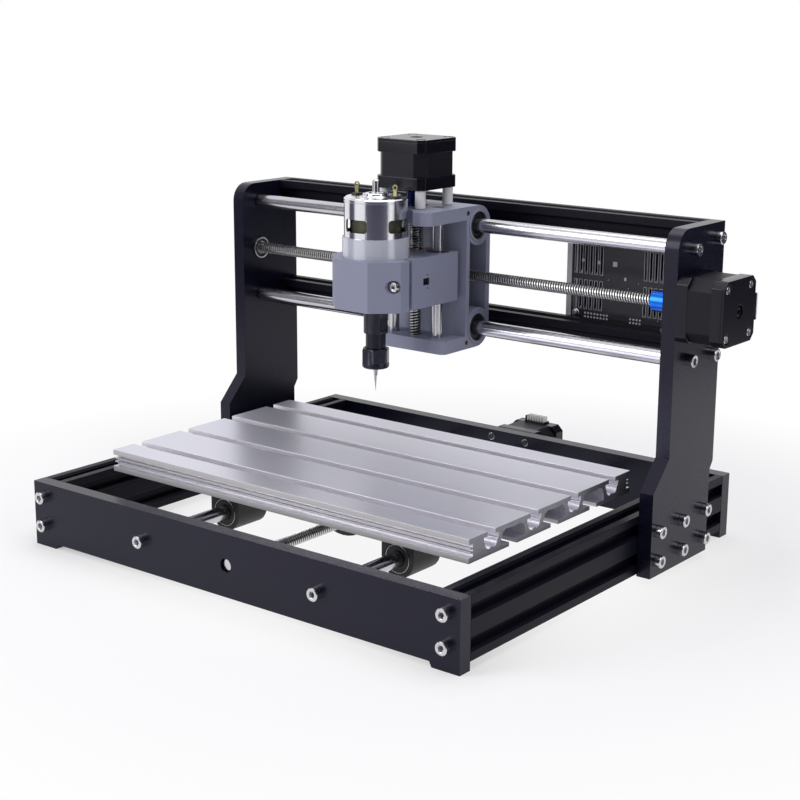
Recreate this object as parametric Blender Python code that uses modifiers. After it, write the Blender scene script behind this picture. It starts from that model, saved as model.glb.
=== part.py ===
"""Desktop three-axis CNC router: fixed gantry, sliding bed, screw-driven X, Y and Z axes.

Metres, +Z up.  The bench stands under z = 0, +X points to the gantry's motor side and +Y from the
front plate to the back.  Pieces are placed from a datum at the middle of the front plate's lower
front edge, and the whole machine is then shifted so that its overall box is centred on the origin.
"""

import math

import bmesh
import bpy
from mathutils import Matrix, Vector

# ---- clearances -------------------------------------------------------------------------------
SEAT_GAP = 0.0003          # between two pieces that rest on, or are bolted to, each other
RUN_GAP = 0.0003           # radial, round a rod or a screw that turns or slides

# ---- base frame -------------------------------------------------------------------------------
BASE_WIDTH = 0.364
BASE_DEPTH = 0.320
PLATE_THICKNESS = 0.010
PLATE_TOP = 0.0455
FOOT_HEIGHT = 0.0035
FOOT_WIDTH = 0.020
PROFILE_MODULE = 0.020     # the slotted profiles are built up of 20 mm squares
SIDE_PROFILE_HEIGHT = 2 * PROFILE_MODULE
BOLT_HOLE_RADIUS = 0.0027

# ---- slotted profile section ------------------------------------------------------------------
SLOT_MOUTH_HALF = 0.0046
SLOT_NECK_HALF = 0.0031
SLOT_NECK_DEPTH = 0.0018
SLOT_WING_HALF = 0.0056
SLOT_WING_DEPTH = 0.0034
SLOT_FLOOR_HALF = 0.0029
SLOT_FLOOR_DEPTH = 0.0061
PROFILE_BORE_RADIUS = 0.0021

# ---- gantry -----------------------------------------------------------------------------------
GANTRY_TOP = 0.2298
GANTRY_FOOT_Z = 0.0045
GANTRY_BACK_Y = 0.2733
GANTRY_POST_DEPTH = 0.0606       # front to back of the upright part
GANTRY_SHOE_FRONT = 0.0187       # how far the bolted foot reaches in front of the post
GANTRY_SHOE_BACK_STEP = 0.0041   # how far the foot stops short of the post's back edge
GANTRY_SHOE_TOP_FRONT = 0.0615
GANTRY_SHOE_SLOPE_FRONT = 0.0198
GANTRY_SHOE_TOP_BACK = 0.0614
GANTRY_SHOE_SLOPE_BACK = 0.0060
GANTRY_CORNER_RADIUS = 0.013
GANTRY_BOLT_PITCH = 0.0305
GANTRY_BOLT_INSET = 0.0073
ROD_BOLT_SETBACK = 0.0193        # rods behind the post's front edge
LOWER_PROFILE_TOP = 0.1523

# ---- shafts and screws ------------------------------------------------------------------------
ROD_RADIUS = 0.005
Z_ROD_RADIUS = 0.004
SCREW_RADIUS = 0.004
MOTOR_SHAFT_RADIUS = 0.0025
ROD_PITCH_Z = 0.0722             # between the two rods of the gantry
UPPER_ROD_Z = 0.2158
Y_ROD_PITCH = 0.1514
Y_AXIS_Z = 0.0247
Z_ROD_PITCH = 0.0386
BEARING_RADIUS = 0.0095
BEARING_LENGTH = 0.029
X_BEARING_LENGTH = 0.055
Z_BEARING_RADIUS = 0.0075
Z_BEARING_LENGTH = 0.028
END_BEARING_RADIUS = 0.0072
END_BEARING_FLANGE = 0.0083
END_BEARING_WIDTH = 0.005
END_BEARING_FLANGE_T = 0.0011
COUPLER_RADIUS = 0.007
COUPLER_LENGTH = 0.024
Z_COUPLER_LENGTH = 0.0185
COUPLER_CLEARANCE = 0.0005       # from a motor's boss to the coupler
NUT_FLANGE_RADIUS = 0.0091
NUT_FLANGE_T = 0.0035
NUT_BARREL_RADIUS = 0.0051
NUT_LENGTH = 0.015

# ---- stepping motors --------------------------------------------------------------------------
MOTOR_SIDE = 0.0423
MOTOR_CORE_INSET = 0.00015
MOTOR_LENGTH = 0.034
MOTOR_CAP_CUT = 0.0043
MOTOR_CORE_CUT = 0.0075
MOTOR_FRONT_CAP = 0.0085
MOTOR_REAR_CAP = 0.0095
MOTOR_BOSS_RADIUS = 0.011
MOTOR_BOSS_HEIGHT = 0.002
MOTOR_SCREW_PITCH = 0.031
MOTOR_BORE_DEPTH = 0.012

# ---- bed --------------------------------------------------------------------------------------
BED_LENGTH = 0.300
BED_WIDTH = 0.180
BED_THICKNESS = 0.015
BED_TOP = 0.069
BED_SHIFT_X = 0.0145             # the bed sits off centre on its slider blocks
BED_FRONT_Y = 0.0315
BED_SLOT_PITCH = 0.045
BED_SLOT_COUNT = 4
BED_SLOT_HALF = 0.004
BED_LIP = 0.003
BED_CAVITY_HALF = 0.0075
BED_CAVITY_DEPTH = 0.0065
BED_SLOT_FLOOR_HALF = 0.005
BED_SLOT_NECKDOWN = 0.009
BED_SLOT_DEPTH = 0.011
BED_UNDER_LIP = 0.0027
BED_UNDER_HALF = 0.0125
BED_UNDER_DEPTH = 0.012
BED_EDGE_LIP = 0.0036
BED_EDGE_GROOVE = 0.004
BLOCK_WIDTH = 0.026
BLOCK_LENGTH = 0.0285
BLOCK_PITCH_Y = 0.059
NUT_BLOCK_WIDTH = 0.034
NUT_BLOCK_LENGTH = 0.016

# ---- X carriage -------------------------------------------------------------------------------
CARRIAGE_X = -0.0094             # where the carriage stands along the gantry
CARRIAGE_WIDTH = 0.0680
CARRIAGE_DEPTH = 0.028
CARRIAGE_BOSS_RADIUS = CARRIAGE_DEPTH / 2
SHELF_THICKNESS = 0.0092
BOTTOM_SHELF_THICKNESS = 0.0092
TOP_SHELF_REACH = 0.045          # in front of the carriage's front face
BOTTOM_SHELF_REACH = 0.0255
SHELF_CORNER_RADIUS = 0.008
SHELF_CORNER_CUT = 0.003
SPINDLE_CLEARANCE_RADIUS = 0.025
CARRIAGE_RIM_FRONT = 0.004
CARRIAGE_RIM_BACK = 0.0045
CARRIAGE_WEB = 0.005
CARRIAGE_WEB_OFFSET = -0.0055
CARRIAGE_SCREW_HOLE_RADIUS = 0.0015
Z_PLANE_SETBACK = 0.0133         # Z rods and Z screw in front of the carriage's front face
SPACER_RADIUS = 0.0036
SPACER_HEIGHT = 0.0120

# ---- spindle slide ----------------------------------------------------------------------------
SPINDLE_SETBACK = 0.0442         # spindle axis in front of the Z screw
HOLDER_BOTTOM_Z = 0.1651
HOLDER_HEIGHT = 0.0343
HOLDER_HALF_WIDTH = 0.0299
HOLDER_FRONT = 0.0262            # spindle axis to the front face
HOLDER_BACK = 0.009              # Z screw to the back face
HOLDER_CHAMFER = 0.0158
HOLDER_SLIT = 0.0029
SLEEVE_RADIUS = 0.0228
SLEEVE_WALL = 0.0009
SLEEVE_PROUD = 0.0138            # how far the sleeve stands out above the holder
SLEEVE_FOOT = 0.0020
CAN_TOP_Z = 0.2390
CAN_LENGTH = 0.0665
CAN_SHOULDER = 0.0015
CAN_BOSS_RADIUS = 0.009
CAN_BOSS_HEIGHT = 0.0041
WINDOW_WIDTH = 0.017
WINDOW_HEIGHT = 0.0087
WINDOW_BOTTOM_Z = 0.2173
WINDOW_DEPTH = 0.003
TERMINAL_OFFSET = 0.0165
TERMINAL_SIZE = (0.0009, 0.0042, 0.0085)
SPINDLE_SHAFT_TOP_Z = 0.251
CLAMP_SCREW_OFFSET = 0.0260      # beside the spindle axis
CLAMP_SCREW_Z = 0.1828
CLAMP_HEAD_RADIUS = 0.0034
CLAMP_HEAD_HEIGHT = 0.004
CLAMP_SHANK_RADIUS = 0.0018
CLAMP_LENGTH = 0.034
NUT_POCKET_SETBACK = 0.0173      # behind the spindle axis
NUT_POCKET_SIZE = (0.008, 0.0065, 0.0048)

# ---- spindle tooling --------------------------------------------------------------------------
CHUCK_RADIUS = 0.0083
CHUCK_TOP_Z = 0.1700
CHUCK_SHOULDER_Z = 0.1465
CHUCK_NECK_RADIUS = 0.0069
CHUCK_NOSE_Z = 0.1245
CHUCK_BORE_DEPTH = 0.018
COLLET_NUT_RADIUS = 0.0096
COLLET_NUT_TOP_Z = 0.1360
COLLET_NUT_BOTTOM_Z = 0.1222
COLLET_MOUTH_RADIUS = 0.0046
BIT_RADIUS = 0.00159
BIT_TIP_Z = 0.1057
BIT_CONE_LENGTH = 0.0150
BIT_TIP_RADIUS = 0.0002
BIT_TOP_Z = 0.1400

# ---- control board ----------------------------------------------------------------------------
BOARD_LEFT_X = 0.0740
BOARD_WIDTH = 0.092
BOARD_HEIGHT = 0.062
BOARD_BOTTOM_Z = 0.150
BOARD_THICKNESS = 0.0016
BOARD_SETBACK = 0.0030           # behind the gantry profiles
BOARD_SLOT_WIDTH = 0.0017
BOARD_SLOT_PITCH = 0.0041
BACKPLATE_THICKNESS = 0.0025
BACKPLATE_SETBACK = 0.0130
BACKPLATE_MARGIN = 0.0105
BACKPLATE_BOTTOM_Z = 0.136
BACKPLATE_TOP_Z = 0.226
PROFILE_POST_RADIUS = 0.0055     # wide enough to rest on both lips of a profile's slot
BOARD_POST_RADIUS = 0.0028
POST_INSET = 0.0062

# ---- places that follow from the sizes above --------------------------------------------------
HALF_BASE = BASE_WIDTH / 2
PLATE_BACK_Y = PLATE_THICKNESS
REAR_PLATE_Y = BASE_DEPTH - PLATE_THICKNESS
SIDE_PROFILE_Z = PLATE_TOP - SIDE_PROFILE_HEIGHT / 2
LEG_INNER_X = HALF_BASE + SEAT_GAP
LEG_OUTER_X = LEG_INNER_X + PLATE_THICKNESS
GANTRY_FRONT_Y = GANTRY_BACK_Y - GANTRY_POST_DEPTH
ROD_Y = GANTRY_FRONT_Y + ROD_BOLT_SETBACK
LOWER_ROD_Z = UPPER_ROD_Z - ROD_PITCH_Z
X_SCREW_Z = (UPPER_ROD_Z + LOWER_ROD_Z) / 2
UPPER_PROFILE_Z = GANTRY_TOP - PROFILE_MODULE / 2
LOWER_PROFILE_Z = LOWER_PROFILE_TOP - PROFILE_MODULE / 2
PROFILE_Y = GANTRY_BACK_Y - PROFILE_MODULE / 2
BED_BOTTOM = BED_TOP - BED_THICKNESS
BED_Y = BED_FRONT_Y + BED_WIDTH / 2
CARRIAGE_FRONT_Y = ROD_Y - CARRIAGE_DEPTH / 2
CARRIAGE_BACK_Y = ROD_Y + CARRIAGE_DEPTH / 2
CARRIAGE_TOP = UPPER_ROD_Z + CARRIAGE_BOSS_RADIUS
CARRIAGE_BOTTOM = LOWER_ROD_Z - CARRIAGE_BOSS_RADIUS
TOP_SHELF_BOTTOM = CARRIAGE_TOP - SHELF_THICKNESS
BOTTOM_SHELF_TOP = CARRIAGE_BOTTOM + BOTTOM_SHELF_THICKNESS
Z_PLANE_Y = CARRIAGE_FRONT_Y - Z_PLANE_SETBACK
SPINDLE_Y = Z_PLANE_Y - SPINDLE_SETBACK
HOLDER_TOP_Z = HOLDER_BOTTOM_Z + HOLDER_HEIGHT
HOLDER_FRONT_Y = SPINDLE_Y - HOLDER_FRONT
HOLDER_BACK_Y = Z_PLANE_Y + HOLDER_BACK
CAN_RADIUS = SLEEVE_RADIUS - SLEEVE_WALL - RUN_GAP
CAN_BOTTOM_Z = CAN_TOP_Z - CAN_LENGTH
Z_MOTOR_Z = CARRIAGE_TOP + SPACER_HEIGHT + 2 * SEAT_GAP
MOTOR_END = MOTOR_LENGTH + SEAT_GAP
MACHINE_SHIFT = Vector((-MOTOR_END / 2, -(BASE_DEPTH + MOTOR_END) / 2, 0.0))

ROD_SEGMENTS = 20
BORE_SEGMENTS = 24
CAN_SEGMENTS = 48

# colour, metallic, roughness of each finish
BLACK_PLATE = ((0.020, 0.020, 0.026), 0.0, 0.38)
BLACK_ALUMINIUM = ((0.018, 0.018, 0.022), 0.6, 0.45)
BARE_ALUMINIUM = ((0.62, 0.61, 0.66), 0.9, 0.34)
BRIGHT_STEEL = ((0.78, 0.78, 0.80), 1.0, 0.16)
SCREW_STEEL = ((0.52, 0.52, 0.53), 1.0, 0.32)
MOTOR_BLACK = ((0.014, 0.014, 0.016), 0.3, 0.42)
GREY_PLASTIC = ((0.235, 0.250, 0.310), 0.0, 0.45)
PALE_PLASTIC = ((0.52, 0.54, 0.60), 0.0, 0.35)
WHITE_NYLON = ((0.78, 0.78, 0.78), 0.0, 0.50)
BLUE_ANODISED = ((0.020, 0.150, 0.620), 0.8, 0.30)
BRASS = ((0.66, 0.46, 0.17), 1.0, 0.30)
BLACK_STEEL = ((0.028, 0.028, 0.032), 0.7, 0.35)
BLACK_BOARD = ((0.022, 0.022, 0.030), 0.0, 0.40)
CLEAR_PLATE = ((0.72, 0.74, 0.78), 0.0, 0.15)

for old in list(bpy.data.objects):
    bpy.data.objects.remove(old, do_unlink=True)

PIECES = bpy.data.collections.new("cnc_router")
CUTTERS = bpy.data.collections.new("cnc_router_cutters")
bpy.context.scene.collection.children.link(PIECES)
bpy.context.scene.collection.children.link(CUTTERS)

TURN_TO = {
    "X": Matrix.Rotation(math.pi / 2, 4, "Y"),
    "Y": Matrix.Rotation(-math.pi / 2, 4, "X"),
    "Z": Matrix.Identity(4),
    "-Y": Matrix.Rotation(math.pi / 2, 4, "X"),
    "-Z": Matrix.Rotation(math.pi, 4, "X"),
}
# how a flat outline is stood up: its second axis, then the way it is thickened
STAND_UP = {
    "XY": Matrix.Identity(4),
    "XZ": Matrix.Rotation(math.pi / 2, 4, "X"),
    "YZ": Matrix(((0, 0, 1, 0), (1, 0, 0, 0), (0, 1, 0, 0), (0, 0, 0, 1))),
}


# ---- bodies: an empty on each joint's axis ----------------------------------------------------
BODY_ORIGIN = {}
BODY_EMPTY = {}


def body(name, parent, origin):
    """An empty that carries the pieces of one rigid body; origin is measured from the datum."""
    empty = bpy.data.objects.new(f"{name}_axis", None)
    empty.empty_display_size = 0.02
    PIECES.objects.link(empty)
    origin = Vector(origin)
    if parent is None:
        empty.location = origin + MACHINE_SHIFT
    else:
        empty.parent = BODY_EMPTY[parent]
        empty.location = origin - BODY_ORIGIN[parent]
    BODY_ORIGIN[name] = origin
    BODY_EMPTY[name] = empty


def material(name, finish):
    colour, metallic, roughness = finish
    made = bpy.data.materials.new(name)
    made.use_nodes = True
    shader = made.node_tree.nodes["Principled BSDF"]
    shader.inputs["Base Color"].default_value = (*colour, 1.0)
    shader.inputs["Metallic"].default_value = metallic
    shader.inputs["Roughness"].default_value = roughness
    made.diffuse_color = (*colour, 1.0)
    return made


def place(obj, body_name, at):
    obj.parent = BODY_EMPTY[body_name]
    obj.location = Vector(at) - BODY_ORIGIN[body_name]


def piece(name, mesh, body_name, at, finish, smooth=True):
    """A named sub-part of a body, standing at a point measured from the datum."""
    mesh.name = name
    mesh.materials.clear()
    mesh.materials.append(material(name, finish))
    if smooth:
        mesh.shade_smooth()
        mesh.set_sharp_from_angle(angle=math.radians(30))
    obj = bpy.data.objects.new(name, mesh)
    PIECES.objects.link(obj)
    place(obj, body_name, at)
    return obj


def boolean(obj, operation, mesh, body_name, at):
    tool = bpy.data.objects.new(f"{obj.name}_tool_{len(obj.modifiers)}", mesh)
    CUTTERS.objects.link(tool)
    tool.hide_render = True
    tool.display_type = "WIRE"
    place(tool, body_name, at)
    step = obj.modifiers.new(f"{operation.lower()}_{len(obj.modifiers)}", "BOOLEAN")
    step.operation = operation
    step.solver = "EXACT"
    step.object = tool


def cut(obj, mesh, body_name, at):
    boolean(obj, "DIFFERENCE", mesh, body_name, at)


def weld_on(obj, mesh, body_name, at):
    boolean(obj, "UNION", mesh, body_name, at)


# ---- meshes, each centred on its own origin ---------------------------------------------------
def to_mesh(bm, name):
    mesh = bpy.data.meshes.new(name)
    bm.to_mesh(mesh)
    bm.free()
    return mesh


def block(size):
    bm = bmesh.new()
    bmesh.ops.create_cube(bm, size=1.0, matrix=Matrix.Diagonal((*size, 1.0)))
    return to_mesh(bm, "block")


def cylinder(radius, length, axis, segments=ROD_SEGMENTS):
    bm = bmesh.new()
    bmesh.ops.create_cone(bm, cap_ends=True, segments=segments, radius1=radius, radius2=radius,
                          depth=length, matrix=TURN_TO[axis])
    return to_mesh(bm, "cylinder")


def evaluated_mesh(obj):
    """The object's finished mesh, with the object itself removed."""
    bpy.context.view_layer.update()
    graph = bpy.context.evaluated_depsgraph_get()
    mesh = bpy.data.meshes.new_from_object(obj.evaluated_get(graph))
    data = obj.data
    bpy.data.objects.remove(obj, do_unlink=True)
    if isinstance(data, bpy.types.Curve):
        bpy.data.curves.remove(data)
    else:
        bpy.data.meshes.remove(data)
    return mesh


def turned(profile, axis="Z", segments=BORE_SEGMENTS, ring=False):
    """Turn (radius, height) points about Z; a ring's profile is closed, running down its outside."""
    mesh = bpy.data.meshes.new("profile")
    points = [(radius, 0.0, height) for radius, height in profile]
    edges = [(i, i + 1) for i in range(len(points) - 1)]
    if ring:
        edges.append((len(points) - 1, 0))
    mesh.from_pydata(points, edges, [])
    obj = bpy.data.objects.new("profile", mesh)
    PIECES.objects.link(obj)
    screw = obj.modifiers.new("turn", "SCREW")
    screw.axis = "Z"
    screw.angle = 2 * math.pi
    screw.steps = segments
    screw.render_steps = segments
    screw.use_merge_vertices = True
    screw.merge_threshold = 0.00001
    made = evaluated_mesh(obj)
    made.transform(TURN_TO[axis])
    return made


def flat(loops, thickness, plane):
    """Thicken a flat outline, whose later loops are holes, equally to both sides of its plane."""
    curve = bpy.data.curves.new("outline", "CURVE")
    curve.dimensions = "2D"
    curve.fill_mode = "BOTH"
    curve.extrude = thickness / 2
    for loop in loops:
        spline = curve.splines.new("POLY")
        spline.points.add(len(loop) - 1)
        for point, (u, v) in zip(spline.points, loop):
            point.co = (u, v, 0.0, 1.0)
        spline.use_cyclic_u = True
    obj = bpy.data.objects.new("outline", curve)
    PIECES.objects.link(obj)
    made = evaluated_mesh(obj)
    bm = bmesh.new()
    bm.from_mesh(made)
    bmesh.ops.remove_doubles(bm, verts=bm.verts, dist=0.00001)
    bmesh.ops.recalc_face_normals(bm, faces=bm.faces)
    bm.to_mesh(made)
    bm.free()
    made.transform(STAND_UP[plane])
    return made


def arc(centre, radius, start, end, steps):
    """Points along an arc, in degrees, both ends included."""
    angles = [math.radians(start + (end - start) * i / steps) for i in range(steps + 1)]
    return [(centre[0] + radius * math.cos(a), centre[1] + radius * math.sin(a)) for a in angles]


def circle(centre, radius, segments=BORE_SEGMENTS):
    return arc(centre, radius, 0, 360 - 360 / segments, segments - 1)


def oblong(left, bottom, width, height):
    return [(left, bottom), (left + width, bottom), (left + width, bottom + height),
            (left, bottom + height)]


def mirrored(half):
    """A groove's left half, from its mouth to its floor, followed by the right half."""
    return half + [(-s, depth) for s, depth in reversed(half)]


# ---- slotted profiles -------------------------------------------------------------------------
def slotted_section(across, up):
    """Outline of a profile that is 20 mm modules wide and high, a slot in each module's face."""
    slot = mirrored([(-SLOT_MOUTH_HALF, 0.0), (-SLOT_NECK_HALF, SLOT_NECK_DEPTH),
                     (-SLOT_WING_HALF, SLOT_NECK_DEPTH), (-SLOT_WING_HALF, SLOT_WING_DEPTH),
                     (-SLOT_FLOOR_HALF, SLOT_FLOOR_DEPTH)])
    outline = []
    sides = ((across, up, 0), (up, across, 90), (across, up, 180), (up, across, 270))
    for along, deep, turn in sides:
        edge = [(-along / 2 * PROFILE_MODULE, 0.0)]
        for module in range(along):
            middle = (module + 0.5 - along / 2) * PROFILE_MODULE
            edge += [(middle + s, depth) for s, depth in slot]
        cos_turn = round(math.cos(math.radians(turn)))
        sin_turn = round(math.sin(math.radians(turn)))
        for s, depth in edge:
            v = depth - deep / 2 * PROFILE_MODULE
            outline.append((s * cos_turn - v * sin_turn, s * sin_turn + v * cos_turn))
    bores = []
    for i in range(across):
        for j in range(up):
            centre = ((i + 0.5 - across / 2) * PROFILE_MODULE, (j + 0.5 - up / 2) * PROFILE_MODULE)
            bores.append(circle(centre, PROFILE_BORE_RADIUS, 10))
    return [outline] + bores


def side_profile(name, side):
    length = REAR_PLATE_Y - PLATE_BACK_Y - 2 * SEAT_GAP
    mesh = flat(slotted_section(1, 2), length, "XZ")
    at = (side * (HALF_BASE - PROFILE_MODULE / 2), BASE_DEPTH / 2, SIDE_PROFILE_Z)
    piece(name, mesh, "frame", at, BLACK_ALUMINIUM, smooth=False)


def gantry_profile(name, height):
    length = 2 * (LEG_INNER_X - SEAT_GAP)
    mesh = flat(slotted_section(1, 1), length, "YZ")
    piece(name, mesh, "frame", (0.0, PROFILE_Y, height), BLACK_ALUMINIUM, smooth=False)


# ---- base plates ------------------------------------------------------------------------------
def plate_outline():
    """Front view of a base plate: a long plate on two feet, drilled for rods and profiles."""
    step = FOOT_HEIGHT * 0.5
    foot = HALF_BASE - FOOT_WIDTH
    edge = [(-HALF_BASE, 0.0), (-foot, 0.0), (-foot + step, FOOT_HEIGHT), (foot - step, FOOT_HEIGHT),
            (foot, 0.0), (HALF_BASE, 0.0), (HALF_BASE, PLATE_TOP), (-HALF_BASE, PLATE_TOP)]
    holes = []
    for side in (-1, 1):
        x = side * (HALF_BASE - PROFILE_MODULE / 2)
        for up in (-1, 1):
            height = SIDE_PROFILE_Z + up * PROFILE_MODULE / 2
            holes.append(circle((x, height), BOLT_HOLE_RADIUS, 12))
        holes.append(circle((side * Y_ROD_PITCH / 2, Y_AXIS_Z), BOLT_HOLE_RADIUS, 12))
    return edge, holes


def front_plate():
    edge, holes = plate_outline()
    holes.append(circle((0.0, Y_AXIS_Z), SCREW_RADIUS + 2 * RUN_GAP))
    mesh = flat([edge] + holes, PLATE_THICKNESS, "XZ")
    plate = piece("front_plate", mesh, "frame", (0.0, PLATE_THICKNESS / 2, 0.0), BLACK_PLATE)
    depth = END_BEARING_WIDTH + SEAT_GAP
    pocket = cylinder(END_BEARING_RADIUS + SEAT_GAP, 2 * depth, "Y", BORE_SEGMENTS)
    cut(plate, pocket, "frame", (0.0, PLATE_BACK_Y, Y_AXIS_Z))


def rear_plate():
    edge, holes = plate_outline()
    holes.append(circle((0.0, Y_AXIS_Z), MOTOR_BOSS_RADIUS + SEAT_GAP))
    holes += motor_screw_holes(0.0, Y_AXIS_Z)
    mesh = flat([edge] + holes, PLATE_THICKNESS, "XZ")
    y = REAR_PLATE_Y + PLATE_THICKNESS / 2
    piece("rear_plate", mesh, "frame", (0.0, y, 0.0), BLACK_PLATE)


def motor_screw_holes(u, v):
    half = MOTOR_SCREW_PITCH / 2
    return [circle((u + i * half, v + j * half), 0.0017, 10) for i in (-1, 1) for j in (-1, 1)]


# ---- gantry plates ----------------------------------------------------------------------------
def gantry_outline():
    """Side view of a gantry plate: a wide bolted foot, sloping up into the upright post."""
    shoe_front = GANTRY_FRONT_Y - GANTRY_SHOE_FRONT
    shoe_back = GANTRY_BACK_Y - GANTRY_SHOE_BACK_STEP
    corner = (GANTRY_FRONT_Y + GANTRY_CORNER_RADIUS, GANTRY_TOP - GANTRY_CORNER_RADIUS)
    edge = [(shoe_front, GANTRY_FOOT_Z), (shoe_back, GANTRY_FOOT_Z),
            (shoe_back, GANTRY_SHOE_TOP_BACK),
            (GANTRY_BACK_Y, GANTRY_SHOE_TOP_BACK + GANTRY_SHOE_SLOPE_BACK),
            (GANTRY_BACK_Y, GANTRY_TOP)]
    edge += arc(corner, GANTRY_CORNER_RADIUS, 90, 180, 6)
    edge += [(GANTRY_FRONT_Y, GANTRY_SHOE_TOP_FRONT + GANTRY_SHOE_SLOPE_FRONT),
             (shoe_front, GANTRY_SHOE_TOP_FRONT)]
    holes = []
    for row in range(3):
        for up in (-1, 1):
            centre = (shoe_front + GANTRY_BOLT_INSET + row * GANTRY_BOLT_PITCH,
                      SIDE_PROFILE_Z + up * PROFILE_MODULE / 2)
            holes.append(circle(centre, BOLT_HOLE_RADIUS, 12))
    for centre in ((ROD_Y, UPPER_ROD_Z), (ROD_Y, LOWER_ROD_Z), (PROFILE_Y, UPPER_PROFILE_Z),
                   (PROFILE_Y, LOWER_PROFILE_Z)):
        holes.append(circle(centre, BOLT_HOLE_RADIUS, 12))
    return edge, holes


def left_gantry_plate():
    edge, holes = gantry_outline()
    holes.append(circle((ROD_Y, X_SCREW_Z), SCREW_RADIUS + 2 * RUN_GAP))
    mesh = flat([edge] + holes, PLATE_THICKNESS, "YZ")
    x = -LEG_INNER_X - PLATE_THICKNESS / 2
    plate = piece("left_gantry_plate", mesh, "frame", (x, 0.0, 0.0), BLACK_PLATE)
    depth = END_BEARING_WIDTH + SEAT_GAP
    pocket = cylinder(END_BEARING_RADIUS + SEAT_GAP, 2 * depth, "X", BORE_SEGMENTS)
    cut(plate, pocket, "frame", (-LEG_INNER_X, ROD_Y, X_SCREW_Z))


def right_gantry_plate():
    edge, holes = gantry_outline()
    holes.append(circle((ROD_Y, X_SCREW_Z), MOTOR_BOSS_RADIUS + SEAT_GAP))
    holes += motor_screw_holes(ROD_Y, X_SCREW_Z)
    mesh = flat([edge] + holes, PLATE_THICKNESS, "YZ")
    x = LEG_INNER_X + PLATE_THICKNESS / 2
    piece("right_gantry_plate", mesh, "frame", (x, 0.0, 0.0), BLACK_PLATE)


# ---- rods, screws, bearings and nuts ----------------------------------------------------------
def fixed_rods():
    x_length = 2 * (LEG_INNER_X - SEAT_GAP)
    y_length = REAR_PLATE_Y - PLATE_BACK_Y - 2 * SEAT_GAP
    for name, height in (("upper_x_rod", UPPER_ROD_Z), ("lower_x_rod", LOWER_ROD_Z)):
        mesh = cylinder(ROD_RADIUS, x_length, "X")
        piece(name, mesh, "frame", (0.0, ROD_Y, height), BRIGHT_STEEL)
    for name, side in (("left_y_rod", -1), ("right_y_rod", 1)):
        mesh = cylinder(ROD_RADIUS, y_length, "Y")
        at = (side * Y_ROD_PITCH / 2, BASE_DEPTH / 2, Y_AXIS_Z)
        piece(name, mesh, "frame", at, BRIGHT_STEEL)


def end_bearing(name, axis, at):
    """Flanged ball bearing in a plate's pocket; its flange lies on the plate's inner face."""
    inner = SCREW_RADIUS + RUN_GAP
    flange = SEAT_GAP + END_BEARING_FLANGE_T
    back = -END_BEARING_WIDTH
    mesh = turned([(END_BEARING_FLANGE, flange), (END_BEARING_FLANGE, SEAT_GAP),
                   (END_BEARING_RADIUS, SEAT_GAP), (END_BEARING_RADIUS, back),
                   (inner, back), (inner, flange)], axis, ring=True)
    piece(name, mesh, "frame", at, BRIGHT_STEEL)


def coupler(name, body_name, axis, length, at):
    """Rigid coupler: the wide end takes the lead screw, the narrow end the motor's shaft."""
    wide = SCREW_RADIUS + RUN_GAP
    narrow = MOTOR_SHAFT_RADIUS + RUN_GAP
    half = length / 2
    mesh = turned([(COUPLER_RADIUS, half), (COUPLER_RADIUS, -half), (wide, -half), (wide, 0.0),
                   (narrow, 0.0), (narrow, half)], axis, ring=True)
    piece(name, mesh, body_name, at, BLUE_ANODISED)


def lead_nut(name, body_name, axis, at):
    """Flanged nut: the flange starts at the given point and the barrel runs on along the axis."""
    bore = SCREW_RADIUS + RUN_GAP
    mesh = turned([(NUT_BARREL_RADIUS, NUT_LENGTH), (NUT_BARREL_RADIUS, NUT_FLANGE_T),
                   (NUT_FLANGE_RADIUS, NUT_FLANGE_T), (NUT_FLANGE_RADIUS, 0.0),
                   (bore, 0.0), (bore, NUT_LENGTH)], axis, ring=True)
    piece(name, mesh, body_name, at, BRASS)


def sleeve_bearing(name, body_name, axis, radii, length, at):
    outer, bore = radii
    half = length / 2
    mesh = turned([(outer, half), (outer, -half), (bore, -half), (bore, half)], axis, ring=True)
    piece(name, mesh, body_name, at, BRIGHT_STEEL)


def span_rod(name, body_name, axis, radius, start, end, finish):
    """A round bar between two points that lie on one axis."""
    start, end = Vector(start), Vector(end)
    mesh = cylinder(radius, (end - start).length, axis)
    piece(name, mesh, body_name, (start + end) / 2, finish)


# ---- stepping motors --------------------------------------------------------------------------
def cut_square(side, corner):
    half = side / 2
    inner = half - corner
    return [(-inner, -half), (inner, -half), (half, -inner), (half, inner), (inner, half),
            (-inner, half), (-half, inner), (-half, -inner)]


def stepping_motor(name, body_name, axis, at):
    """Motor whose mounting face is at the given point and whose shaft side looks back along -axis."""
    turn = TURN_TO[axis]

    def slab(side, corner, low, high):
        mesh = flat([cut_square(side, corner)], high - low, "XY")
        mesh.transform(Matrix.Translation((0.0, 0.0, (low + high) / 2)))
        mesh.transform(turn)
        return mesh

    core_side = MOTOR_SIDE - 2 * MOTOR_CORE_INSET
    inset = MOTOR_FRONT_CAP / 4
    core = slab(core_side, MOTOR_CORE_CUT, inset, MOTOR_LENGTH - inset)
    motor = piece(name, core, body_name, at, MOTOR_BLACK)
    weld_on(motor, slab(MOTOR_SIDE, MOTOR_CAP_CUT, 0.0, MOTOR_FRONT_CAP), body_name, at)
    rear = slab(MOTOR_SIDE, MOTOR_CAP_CUT, MOTOR_LENGTH - MOTOR_REAR_CAP, MOTOR_LENGTH)
    weld_on(motor, rear, body_name, at)
    boss = cylinder(MOTOR_BOSS_RADIUS, 2 * MOTOR_BOSS_HEIGHT, "Z", BORE_SEGMENTS)
    boss.transform(turn)
    weld_on(motor, boss, body_name, at)
    bore = cylinder(MOTOR_SHAFT_RADIUS + RUN_GAP, 2 * MOTOR_BORE_DEPTH, "Z", ROD_SEGMENTS)
    bore.transform(turn)
    cut(motor, bore, body_name, at)


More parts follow.
